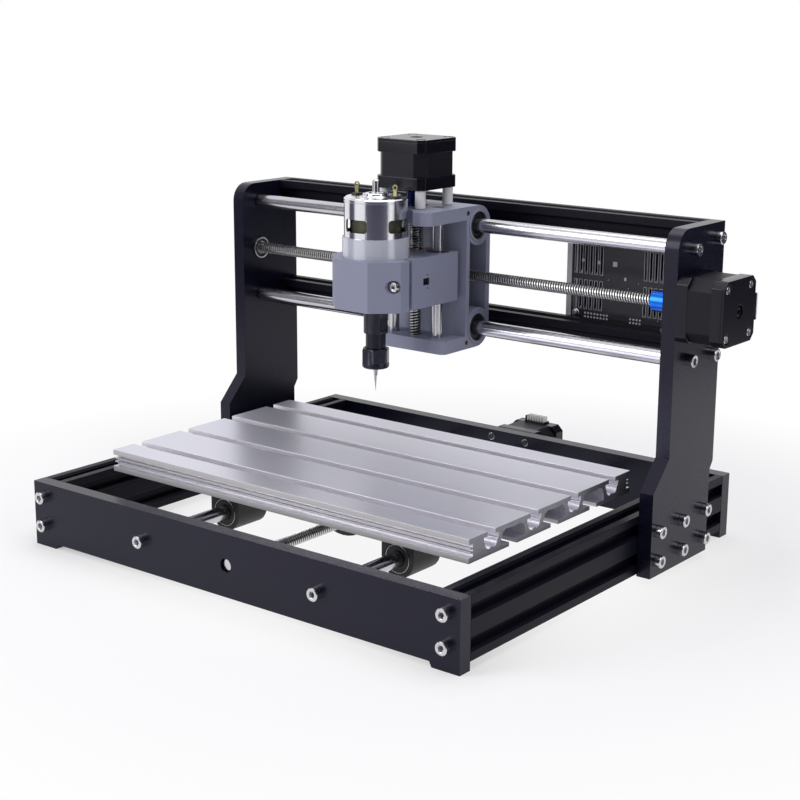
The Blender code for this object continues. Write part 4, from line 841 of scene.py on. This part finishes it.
def flange_nut(node, body, facing):
    """The flange lies at the end that the turned -Z axis points to."""
    half, flange = round_size(node, AXES.index(facing[-1]))
    barrel = ring(5.1 * MM, 4.3 * MM, -half + 3.0 * MM, half)
    holes = [circle(7.1 * MM * math.cos(a), 7.1 * MM * math.sin(a), 1.1 * MM, 16)
             for a in (math.radians(45 + 90 * i) for i in range(4))]
    disc = prism([circle(0, 0, flange, 48), circle(0, 0, 4.3 * MM, 32)] + holes,
                 -half, -half + 3.5 * MM, 0.2 * MM)
    on_axis(f"{node}_brass", [barrel, disc], BRASS, body, node, facing)


flange_nut("bed_nut", "bed", "-Y")
flange_nut("x_nut", "x_carriage", "X")
flange_nut("z_nut", "z_slider", "-Z")


# ---- X carriage ----
# One moulding of blue-grey nylon: an upright with a boss for each X bearing, a deep pocket on
# each side of the web that holds the nut, and two shelves that hold the Z rods and the Z motor.
def evaluated(obj):
    """A mesh of what an object's modifiers or its curve make."""
    bpy.context.view_layer.update()
    graph = bpy.context.evaluated_depsgraph_get()
    return bpy.data.meshes.new_from_object(obj.evaluated_get(graph))


def cut_out(mesh, cutters):
    """The mesh with each cutter's volume taken away."""
    body = add("blank", mesh)
    tools = [add("cutter", cutter) for cutter in cutters]
    for tool in tools:
        step = body.modifiers.new("cut", "BOOLEAN")
        step.solver = "EXACT"
        step.object = tool
    made = evaluated(body)
    for obj in [body] + tools:
        data = obj.data
        bpy.data.objects.remove(obj)
        bpy.data.meshes.remove(data)
    return made


# Moulded nylon with a fine spark-eroded texture and slight flow marks.
GREY_PLASTIC = Finish("grey_moulded_plastic", {"IOR": 1.48}).mottle(
    (22.0, 4.0), (0.216, 0.227, 0.316), (0.246, 0.257, 0.350), (1500.0, 3.0), (0.40, 0.14),
    (0.00004, 0.45))
SOFT_EDGE, MOULDED_TURN = 0.45 * MM, 18
eased_piece("carriage_moulding", "x_carriage", SOFT_EDGE, GREY_PLASTIC, "x_carriage",
            3, MOULDED_TURN)
carriage_low, carriage_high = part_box("x_carriage")
PIN_Y = centre("upper_x_bearing").y - 12.5 * MM
PIN_INSET = 4.6 * MM
rims = []
wipers = []
bands = []
sunk_heads = []
for level, pin_z in (("upper", carriage_high.z - PIN_INSET),
                     ("lower", carriage_low.z + PIN_INSET)):
    bearing = f"{level}_x_bearing"
    linear_bearing(bearing, "x_carriage", "X")
    bore = round_size(bearing, ALONG_X)[1]
    for facing, x in (("X", carriage_high.x), ("-X", carriage_low.x)):
        spot = (x, centre(bearing).y, centre(bearing).z)
        rim = ring(bore + 1.9 * MM, bore + 0.2 * MM, -0.3 * MM, 0.7 * MM, 0.25 * MM)
        rims.append(moved(rim, spot, TURNS[facing]))
        wiper = ring(bore - 0.5 * MM, 5.5 * MM, -2.4 * MM, -1.0 * MM)
        wipers.append(moved(wiper, spot, TURNS[facing]))
        band = ring(bore, bore - 0.6 * MM, -2.4 * MM, -0.6 * MM)
        bands.append(moved(band, spot, TURNS[facing]))
        sunk = turned(in_metres([(1.7, -0.6), (1.7, 0.05), (1.2, 0.05), (0.9, -0.4)]),
                      segments=24)
        sunk_heads.append(moved(sunk, (x, PIN_Y, pin_z), TURNS[facing]))
piece("carriage_bore_rims", rims, GREY_PLASTIC, "x_carriage")
piece("carriage_rod_wipers", wipers, BLACK_SEAL, "x_carriage")
piece("carriage_wiper_bands", bands, GRUB_STEEL, "x_carriage")
piece("carriage_sunk_screws", sunk_heads, BLACK_SEAL, "x_carriage")


# ---- Z motor spacers ----
# White nylon tubes, one at each corner, that stand the Z motor off the carriage's top shelf.
WHITE_NYLON = Finish("white_nylon", {"IOR": 1.53, "Subsurface Weight": 0.15,
                                     "Subsurface Scale": 0.002}).mottle(
    (120.0, 2.0), (0.80, 0.80, 0.81), (0.72, 0.72, 0.74), (1600.0, 2.0), (0.42, 0.12),
    (0.00002, 0.4))
for end in ("front", "rear"):
    for side in ("left", "right"):
        node = f"{end}_{side}_spacer"
        half, radius = round_size(node, ALONG_Z)
        tube = ring(radius, 1.7 * MM, -half, half, 0.3 * MM)
        on_axis(f"{node}_tube", [tube], WHITE_NYLON, "x_carriage", node, "Z")


# ---- Z spring ----
# A coil spring of steel wire round the Z screw, between the slide's nut and the top shelf, that
# takes up the play in the thread.  It is one fixed coil here; the real spring closes and opens as
# the slide moves.
SPRING_RADIUS, SPRING_WIRE, SPRING_TURNS, SPRING_STEPS = 5.0 * MM, 0.42 * MM, 13, 24
spring_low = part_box("z_nut")[1].z + SPRING_WIRE
spring_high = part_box("z_coupler")[0].z - 3 * SPRING_WIRE
spring_curve = bpy.data.curves.new("z_spring", "CURVE")
spring_curve.dimensions = "3D"
spring_curve.bevel_depth = SPRING_WIRE
spring_curve.bevel_resolution = 2
spring_curve.use_fill_caps = True
coil = spring_curve.splines.new("POLY")
coil.points.add(SPRING_TURNS * SPRING_STEPS)
axis_at = centre("z_lead_screw")
for i, point in enumerate(coil.points):
    share = i / (SPRING_TURNS * SPRING_STEPS)
    angle = 2 * math.pi * SPRING_TURNS * share
    point.co = (axis_at.x + SPRING_RADIUS * math.cos(angle),
                axis_at.y + SPRING_RADIUS * math.sin(angle),
                spring_low + (spring_high - spring_low) * share, 1.0)
spring_holder = add("z_spring_path", spring_curve)
wire = evaluated(spring_holder)
bpy.data.objects.remove(spring_holder)
wire.materials.clear()
wire.materials.append(BEARING_STEEL)
even(wire, 60)
spring = add("z_spring", wire)
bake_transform(spring)


# ---- Spindle holder ----
# A second moulding of the same grey nylon that slides on the Z rods and grips the spindle motor
# in a split bore.  A cross screw and a square nut in a pocket pull the split together.
clamp_low, clamp_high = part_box("clamp_screw")
clamp_at = (centre("clamp_screw").x, clamp_low.y, centre("clamp_screw").z)
holder_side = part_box("spindle_holder")[1].x
recess = moved(turned([(4.3 * MM, -3 * MM), (4.3 * MM, 3.4 * MM)], segments=40), clamp_at,
               TURNS["Y"])
marks = [box((2 * MM, 1.6 * MM, 0.9 * MM),
             (holder_side, clamp_high.y - 4.5 * MM, clamp_at[2] + rise), 0)
         for rise in (-4.6 * MM, 4.6 * MM)]
holder = cut_out(eased_copy("spindle_holder", SOFT_EDGE, 3, MOULDED_TURN), [recess] + marks)
piece("holder_moulding", [holder], GREY_PLASTIC, "z_slider",
      node="spindle_holder")
for side in ("left", "right"):
    linear_bearing(f"{side}_z_bearing", "z_slider", "Z")
head_height = 3.7 * MM
clamp_head = moved(socket_screw((clamp_high.x - clamp_low.x) / 2, head_height, 1.75 * MM, 40),
                   (0, 0, head_height), TURNS["-Z"])
shank = turned([(1.8 * MM, head_height - 0.1 * MM),
                (1.8 * MM, clamp_high.y - clamp_low.y - 0.4 * MM),
                (1.4 * MM, clamp_high.y - clamp_low.y)], segments=24)
piece("clamp_cross_screw", [clamp_head, shank], ZINC, "z_slider", node="clamp_screw",
      at=clamp_at, turn=TURNS["Y"])
NUT_FROM_SCREW_END = 3.5 * MM
nut_y = clamp_high.y - NUT_FROM_SCREW_END
square_nut = box((6.6 * MM, 2.4 * MM, 4.4 * MM),
                 (clamp_at[0] + 0.6 * MM, nut_y, clamp_at[2]), 0.3 * MM)
piece("clamp_square_nut", [square_nut], GRUB_STEEL, "z_slider")


# ---- Spindle sleeve ----
# A thin split liner of clear plastic round the motor's can; it stands out above the holder.
CLEAR_LINER = Finish("clear_liner", {"IOR": 1.46, "Transmission Weight": 0.30,
                                     "Metallic": 0.22}).mottle(
    (45.0, 2.0), (0.74, 0.75, 0.85), (0.67, 0.68, 0.78), (900.0, 2.0), (0.14, 0.08),
    (0.00002, 0.3))
sleeve_low, sleeve_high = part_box("spindle_sleeve")
sleeve_radius = (sleeve_high.x - sleeve_low.x) / 2
spindle_at = centre("spindle_shaft")
piece("sleeve_liner",
      [ring(sleeve_radius, sleeve_radius - 0.9 * MM, sleeve_low.z, sleeve_high.z, 0.2 * MM, 96)],
      CLEAR_LINER, "z_slider", node="spindle_sleeve",
      at=(spindle_at.x, spindle_at.y, 0))


# ---- Spindle motor ----
# A brushed motor in a drawn steel can with four cooling windows.  A pressed end cap with a
# bearing boss, vent holes and two brass tabs closes the top, under a folded rim.
def rounded_window(width, height, corner, depth):
    """A cutter along +X, rounded at its four corners."""
    half, rise = width / 2 - corner, height / 2 - corner
    outline = (arc(half, rise, corner, 0, 90, 6) + arc(-half, rise, corner, 90, 180, 6)
               + arc(-half, -rise, corner, 180, 270, 6) + arc(half, -rise, corner, 270, 360, 6))
    return moved(prism([outline], 0.0, depth), (0, 0, 0), LIE_ALONG_X)


# Bright drawn steel, polished, with faint lines round it.
CAN_STEEL = Finish("bright_can_steel", {"Metallic": 1.0}).mottle(
    (60.0, 2.0), (0.78, 0.78, 0.83), (0.70, 0.70, 0.76), (120.0, 3.0, (0.25, 0.25, 12.0)),
    (0.11, 0.08), (0.00001, 0.4), drift=0.05)
motor_low, motor_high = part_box("spindle_motor")
can_radius = (motor_high.x - motor_low.x) / 2
can_low = motor_low.z
CAN_TOP = can_low + 66.5 * MM
WINDOW_MIDDLE = can_low + 49.15 * MM
WALL = 1.6 * MM
shell = turned([(can_radius - 1.2 * MM, can_low), (can_radius, can_low + 1.2 * MM),
                (can_radius, CAN_TOP - 2.1 * MM), (can_radius - 0.35 * MM, CAN_TOP - 1.9 * MM),
                (can_radius - 0.35 * MM, CAN_TOP - 1.5 * MM), (can_radius, CAN_TOP - 1.3 * MM),
                (can_radius, CAN_TOP - 0.2 * MM), (can_radius - 0.9 * MM, CAN_TOP + 0.6 * MM),
                (can_radius - WALL, CAN_TOP + 0.6 * MM), (can_radius - WALL, CAN_TOP - 3 * MM),
                (can_radius - WALL, can_low + WALL), (3 * MM, can_low + WALL),
                (3 * MM, can_low)], segments=96, hollow=True)
windows = [moved(rounded_window(18.6 * MM, 8.7 * MM, 2.2 * MM, can_radius + 5 * MM),
                 (0, 0, WINDOW_MIDDLE), Matrix.Rotation(quarter * math.pi / 2 - 0.05, 4, "Z"))
           for quarter in range(4)]
can_at = (spindle_at.x, spindle_at.y, 0)
piece("spindle_can", [cut_out(shell, windows)], CAN_STEEL, "z_slider",
      node="spindle_motor", at=can_at)
inside = turned([(14.0 * MM, can_low + 20 * MM), (14.0 * MM, CAN_TOP - 20 * MM),
                 (17.5 * MM, CAN_TOP - 24 * MM), (17.5 * MM, CAN_TOP - 9 * MM),
                 (9.0 * MM, CAN_TOP - 7 * MM)], segments=60)
# Varnished copper wire and dark laminations, seen through the windows.
WINDINGS = Finish("varnished_windings", {"Metallic": 0.4}).mottle(
    (180.0, 2.0), (0.085, 0.080, 0.045), (0.030, 0.030, 0.024), (900.0, 2.0, (1.0, 1.0, 0.2)),
    (0.35, 0.2), (0.0002, 0.6))
piece("spindle_windings", [inside], WINDINGS, "z_slider", at=can_at)

END_PLATE = CAN_TOP + 0.9 * MM
vents = [circle(13.6 * MM * math.cos(a), 13.6 * MM * math.sin(a), 2.1 * MM, 24)
         for a in (math.radians(20 + 72 * i) for i in range(5))]
end_plate = prism([circle(0, 0, can_radius - 1.0 * MM, 96)] + vents + [circle(0, 0, 3.2 * MM)],
                  END_PLATE - 1.4 * MM, END_PLATE, 0.25 * MM)
dome = turned(in_metres([(9.6, -0.2), (9.2, 0.5), (8.0, 0.7), (7.7, 1.9), (6.9, 2.4), (5.0, 2.4),
                         (4.6, 1.6), (2.9, 1.6), (2.9, -0.2)]), 0.2 * MM, hollow=True)
moved(dome, (0, 0, END_PLATE))
piece("spindle_end_cap", [end_plate, dome], CAN_STEEL, "z_slider", at=can_at)
under = turned([(can_radius - 2 * MM, END_PLATE - 6 * MM),
                (can_radius - 2 * MM, END_PLATE - 2.2 * MM)], segments=48)
piece("spindle_brush_ring", [under], BLACK_SEAL, "z_slider", at=can_at)

TAB_BRASS = brass_finish("dull_brass", (0.34, 0.32, 0.16), (0.22, 0.20, 0.10))
for side, name in ((-1, "left"), (1, "right")):
    tab_x = side * 16.5 * MM
    holder_block = box((4.4 * MM, 7.0 * MM, 1.5 * MM), (tab_x, 0, END_PLATE + 0.4 * MM))
    piece(f"spindle_{name}_tab_base", [holder_block], BLACK_SEAL, "z_slider",
          at=can_at)
    half, top = 2.1 * MM, 8.4 * MM
    outline = ([(-0.7 * half, 0.0), (0.7 * half, 0.0), (0.7 * half, top - 2.2 * half)]
               + arc(0.0, top - half, half, -40, 220, 16) + [(-0.7 * half, top - 2.2 * half)])
    tab = prism([outline, circle(0, top - half, 1.15 * MM, 20)], -0.45 * MM, 0.45 * MM,
                0.12 * MM)
    piece(f"spindle_{name}_tab", [tab], TAB_BRASS, "z_slider", turn=TURNS["-Y"],
          at=(can_at[0] + tab_x, can_at[1], END_PLATE + 0.6 * MM))


# ---- Spindle tooling ----
# The motor's ground shaft carries a blackened collet chuck with two spanner flats; its hexagon
# nut closes the collet on a carbide engraving bit with a flat ground to its axis.
def blackened_finish():
    f = Finish("blackened_steel", {"Metallic": 0.85})
    rings = f.noise(220.0, 3.0, (0.4, 0.4, 8.0))
    cloud = f.noise(140.0, 3.0)
    rubbed = f.ramp(f.node("ShaderNodeNewGeometry", out="Pointiness"), 0.515, 0.60)
    worn = rubbed * f.noise(500.0, 2.0)
    body = f.mix(cloud, (0.016, 0.017, 0.027), (0.030, 0.031, 0.044))
    f.feed({
        "Base Color": f.mix(worn * 0.5, body, (0.20, 0.20, 0.24)),
        "Roughness": 0.26 + 0.14 * rings,
        "Normal": f.bump(rings, 0.00001, 0.5),
    })
    return f.material


BLACKENED = blackened_finish()
shaft = rod_mesh(SHAFT_RADIUS, 2 * round_size("spindle_shaft", ALONG_Z)[0])
on_axis("spindle_shaft_ground", [shaft], BEARING_STEEL, "spindle",
        "spindle_shaft", "Z")

chuck_low, chuck_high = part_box("collet_chuck")
nut_low, nut_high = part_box("collet_nut")
chuck_radius = (chuck_high.x - chuck_low.x) / 2
FLAT_HEIGHT = 9.0 * MM
shoulder = chuck_high.z - 23.5 * MM
chuck = turned([(2.9 * MM, chuck_high.z), (chuck_radius, chuck_high.z), (chuck_radius, shoulder),
                (6.9 * MM, shoulder), (6.9 * MM, chuck_low.z), (2.0 * MM, chuck_low.z),
                (2.0 * MM, chuck_low.z + 8 * MM), (2.9 * MM, chuck_low.z + 9 * MM)],
               0.3 * MM, 64, hollow=True)
flats = [box((4 * MM, 20 * MM, FLAT_HEIGHT),
             (side * (chuck_radius + 0.9 * MM), 0, shoulder + 2 * MM + FLAT_HEIGHT / 2), 0)
         for side in (-1, 1)]
piece("chuck_body", [cut_out(chuck, flats)], BLACKENED, "spindle",
      node="collet_chuck", at=can_at)
nut_radius = (nut_high.x - nut_low.x) / 2
bevel = 0.9 * MM
collet_nut = turned([(nut_radius - bevel, nut_high.z), (nut_radius * 1.03, nut_high.z - bevel, HEX),
                     (nut_radius * 1.03, nut_low.z + 4.2 * MM, HEX),
                     (nut_radius * 0.97, nut_low.z + 3.2 * MM),
                     (nut_radius * 0.97, nut_low.z + bevel), (nut_radius - 1.4 * bevel, nut_low.z),
                     (5.0 * MM, nut_low.z), (4.4 * MM, nut_low.z + 1.2 * MM),
                     (4.4 * MM, nut_low.z + 2.0 * MM), (7.2 * MM, nut_low.z + 2.0 * MM),
                     (7.2 * MM, nut_high.z)], 0.2 * MM, 72, hollow=True)
piece("collet_nut_hexagon", [collet_nut], BLACKENED, "spindle",
      node="collet_nut", at=can_at)
collet = turned(in_metres([(4.3, 1.8), (4.0, 0.4), (1.75, 0.2), (1.75, 1.8)]), 0.1 * MM,
                hollow=True)
piece("collet", [collet], BEARING_STEEL, "spindle",
      at=(*can_at[:2], nut_low.z))

CARBIDE_RINGS = (500.0, 2.0, (0.5, 0.5, 4.0))
CARBIDE = Finish("ground_carbide", {"Metallic": 1.0}).mottle(
    CARBIDE_RINGS, (0.50, 0.50, 0.51), (0.36, 0.36, 0.37), CARBIDE_RINGS, (0.20, 0.12),
    (0.00001, 0.4))
bit_low, bit_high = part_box("engraving_bit")
bit_radius = (bit_high.x - bit_low.x) / 2
CONE = 15.0 * MM
bit = turned([(0.10 * MM, bit_low.z), (bit_radius, bit_low.z + CONE), (bit_radius, bit_high.z)],
             segments=48)
ground_off = box((4 * MM, 4 * MM, CONE * 0.72), (2.05 * MM, 0, bit_low.z + CONE * 0.36), 0)
piece("engraving_bit_ground", [cut_out(bit, [ground_off])], CARBIDE, "spindle",
      node="engraving_bit", at=can_at)


# ---- Control board ----
# A black circuit board with two banks of cooling slots, hung behind the gantry beams on a pale
# plate.  Its components and finned coolers are on the far side; solder joints show in front.
def legend_finish(name, bright, dull):
    """Pale printing ink or tinned solder on the board."""
    return Finish(name, {"IOR": 1.45}).mottle(
        (600.0, 2.0), bright, dull, (600.0, 2.0), (0.5, 0.2))


CIRCUIT_BOARD = Finish("black_solder_mask", {"IOR": 1.5, "Specular IOR Level": 0.3,
                                             "Coat Roughness": 0.12}).mottle(
    (60.0, 3.0), (0.0100, 0.0095, 0.0190), (0.0150, 0.0145, 0.0270), (700.0, 2.0),
    (0.30, 0.14), (0.00003, 0.4), coat=(0.10, 0.15))
# Thick opal acrylic with a faint haze of handling.
PALE_ACRYLIC = Finish("pale_acrylic", {"IOR": 1.49, "Coat Roughness": 0.06}).mottle(
    (30.0, 2.0), (0.88, 0.89, 0.92), (0.82, 0.83, 0.87), (500.0, 2.0), (0.26, 0.10),
    coat=(0.30, 0.20))
PALE_INK = legend_finish("pale_ink", (0.56, 0.56, 0.60), (0.42, 0.42, 0.46))
SOLDER = legend_finish("tinned_solder", (0.86, 0.86, 0.88), (0.66, 0.66, 0.69))
eased_piece("board_blank", "control_board", 0.12 * MM, CIRCUIT_BOARD, "frame")
eased_piece("board_back_panel", "board_backplate", 0.3 * MM, PALE_ACRYLIC, "frame")
board_low, board_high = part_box("control_board")
SLOT_WIDTH, SLOT_PITCH = 1.7 * MM, 4.1 * MM


def slot_outline(x, z, width, height, rim):
    """A printed line round a slot, with the slot itself left open."""
    def oblong(grow):
        left, right = x - width / 2 - grow, x + width / 2 + grow
        low, high = z - grow, z + height + grow
        return [(left, low), (right, low), (right, high), (left, high)]
    return prism([oblong(rim), oblong(0.05 * MM)], 0.0, 0.06 * MM)


rims = []
fins = []
for low, height in ((8.0 * MM, 20.0 * MM), (33.0 * MM, 19.5 * MM)):
    for start, count in ((3.6 * MM, 6), (59.2 * MM, 4)):
        for i in range(count):
            x = start + i * SLOT_PITCH
            rims.append(slot_outline(x, low, SLOT_WIDTH, height, 0.42 * MM))
            fins.append(box((1.0 * MM, 6.0 * MM, height - 1.0 * MM),
                            (x, 3.3 * MM, low + height / 2), 0.1 * MM))
        base_x = start + (count - 1) * SLOT_PITCH / 2
        fins.append(box((count * SLOT_PITCH, 1.2 * MM, height),
                        (base_x, 6.6 * MM, low + height / 2), 0.2 * MM))
piece("board_slot_lines", rims, PALE_INK, "frame", turn=TURNS["-Y"],
      at=board_low)
piece("board_coolers", fins, BLACKENED, "frame",
      at=(board_low.x, board_high.y, board_low.z))


def solder_dot(x, z, radius=0.8 * MM):
    dot = turned([(radius, 0.0), (radius * 0.8, 0.35 * MM), (radius * 0.3, 0.6 * MM)],
                 segments=12)
    return moved(dot, (x, 0, z), TURNS["-Y"])


PIN_PITCH = 2.54 * MM
joints = []
for start, count in ((12.0 * MM, 8), (48.5 * MM, 4)):
    for i in range(count):
        for row in range(2):
            joints.append(solder_dot(start + i * PIN_PITCH, 2.2 * MM + row * PIN_PITCH))
for x, z in ((27, 58), (29, 58), (38, 57.5), (40.4, 57.5), (64, 58.5), (66, 58.5), (70, 6), (74, 6),
             (79, 4), (83, 5), (54, 30), (30, 30), (34, 24), (46, 26)):
    joints.append(solder_dot(x * MM, z * MM, 0.4 * MM))
piece("board_solder_joints", joints, SOLDER, "frame", at=board_low)
chips = [box((width * MM, 0.8 * MM, height * MM), (x * MM, -0.3 * MM, z * MM), 0.15 * MM)
         for x, z, width, height in ((35.2, 41.6, 3.4, 3.4), (43.7, 32.1, 1.8, 2.4),
                                     (22.3, 41.5, 2.4, 2.4), (9.5, 42.0, 2.0, 2.0))]
piece("board_small_parts", chips, PALE_INK, "frame", at=board_low)
mount = turned(in_metres([(2.9, 0.0), (2.9, 0.3), (2.3, 0.4), (2.2, 1.6), (1.5, 1.9)])
               + [(1.0 * MM, 1.0 * MM, HEX)], segments=30)
piece("board_corner_screw", [mount], ZINC, "frame", turn=TURNS["-Y"],
      at=(board_low.x + 4.2 * MM, board_low.y, board_low.z + 4.2 * MM))


# ---- Stage, light and camera ----
# A pale floor that keeps the shadow, a soft overhead light, a wide light from each side, three
# dark cards that show only in reflections, and a long lens from the front right.
bm = bmesh.new()
bmesh.ops.create_circle(bm, cap_ends=True, segments=64, radius=30.0)
floor_mesh = to_mesh(bm, "floor")
add("floor", floor_mesh)


def seen_directly(nodes):
    """Over 0 for rays from the camera, off glossy pieces and through clear ones."""
    rays = [nodes.node("ShaderNodeLightPath", out=f"Is {kind} Ray")
            for kind in ("Camera", "Glossy", "Transmission")]
    return rays[0] + rays[1] + rays[2]


f = Finish("pale_floor", {"Base Color": (0.90, 0.90, 0.915), "Roughness": 0.9})
BACKGROUND_WHITE = (1.0, 1.0, 1.0)
SHADE_START, SHADE_FULL, SHADE_FADES, SHADE_GONE = 0.16, 0.25, 0.30, 0.46
away = f.vector("LENGTH", f.place, out="Value")
glow = f.node("ShaderNodeEmission", {}, {"Color": BACKGROUND_WHITE, "Strength": 1.0})
outside = f.ramp(away, SHADE_FADES, SHADE_GONE)
edge_shade = f.ramp(away, SHADE_START, SHADE_FULL) * (1.0 - outside)
plain = 0.90 - 0.50 * edge_shade + 0.10 * outside
shown = f.node("ShaderNodeMixShader", {},
               {0: seen_directly(f) * plain, 1: Wire(f, f.shader.outputs[0]), 2: glow})
f.join(shown, f.tree.nodes["Material Output"].inputs["Surface"])
floor_mesh.materials.append(f.material)

world = bpy.data.worlds.new("studio")
bpy.context.scene.world = world
world.use_nodes = True
sky = Nodes(world.node_tree)
ambient = sky.node("ShaderNodeBackground", {}, {"Color": (0.80, 0.80, 0.84), "Strength": 0.42})
white = sky.node("ShaderNodeBackground", {}, {"Color": BACKGROUND_WHITE})
choose = sky.node("ShaderNodeMixShader", {}, {0: seen_directly(sky), 1: ambient, 2: white})
sky.join(choose, sky.tree.nodes["World Output"].inputs["Surface"])
sky.tree.nodes.remove(sky.tree.nodes["Background"])


def aim(obj, at, towards):
    """Stand an object at a point, with its -Z axis towards another."""
    obj.location = at
    obj.rotation_euler = (Vector(towards) - Vector(at)).to_track_quat("-Z", "Y").to_euler()


def softbox(name, at, width, height, power):
    light = bpy.data.lights.new(name, "AREA")
    light.shape = "RECTANGLE"
    light.size = width
    light.size_y = height
    light.energy = power
    aim(add(name, light), at, (0.0, 0.0, 0.12))


softbox("overhead_light", (0.1, 0.15, 1.5), 1.6, 1.2, 13.0)
softbox("left_light", (-0.9, -1.3, 0.8), 0.9, 1.1, 14.0)
softbox("right_light", (1.5, -0.2, 0.7), 0.7, 1.1, 4.0)

CARD_HEIGHT, CARD_MIDDLE = 0.9, 0.46
BLACK_CARD = Finish("black_card", {"Base Color": (0.050, 0.050, 0.085), "Roughness": 0.95}).material


def flag(name, at, towards, width):
    """A black card beside the set, seen only in reflections, where it draws a dark band."""
    bm = bmesh.new()
    bmesh.ops.create_grid(bm, size=0.5, matrix=Matrix.Diagonal((width, CARD_HEIGHT, 1.0, 1.0)))
    mesh = to_mesh(bm, name)
    mesh.materials.append(BLACK_CARD)
    obj = add(name, mesh)
    aim(obj, (*at, CARD_MIDDLE), (*towards, CARD_MIDDLE))
    obj.visible_camera = False
    obj.visible_diffuse = False
    obj.visible_shadow = False
    obj.visible_transmission = False


RIGHTWARD, TOWARDS = Vector((0.786, 0.618)), Vector((0.618, -0.786))
for name, across, ahead, aimed, width in (("right_flag", 0.74, -0.45, -0.45, 1.5),
                                          ("left_flag", -0.72, -0.06, -0.06, 0.34),
                                          ("front_flag", 0.03, 0.72, 0.0, 1.25)):
    flag(name, RIGHTWARD * across + TOWARDS * ahead, TOWARDS * aimed, width)

CAMERA_AT = Vector((0.67402, -0.87999, 0.37877))
AZIMUTH, ELEVATION, ROLL = 38.191, 14.129, 0.295
SENSOR_WIDTH, LENS_LENGTH = 36.0, 74.547
lens = bpy.data.cameras.new("long_lens")
lens.sensor_width = SENSOR_WIDTH
lens.lens = LENS_LENGTH
camera = add("camera", lens)
camera.matrix_world = (Matrix.Translation(CAMERA_AT)
                       @ Matrix.Rotation(math.radians(AZIMUTH), 4, "Z")
                       @ Matrix.Rotation(math.radians(90 - ELEVATION), 4, "X")
                       @ Matrix.Rotation(math.radians(ROLL), 4, "Z"))
bpy.context.scene.camera = camera
bpy.context.scene.view_settings.view_transform = "Standard"
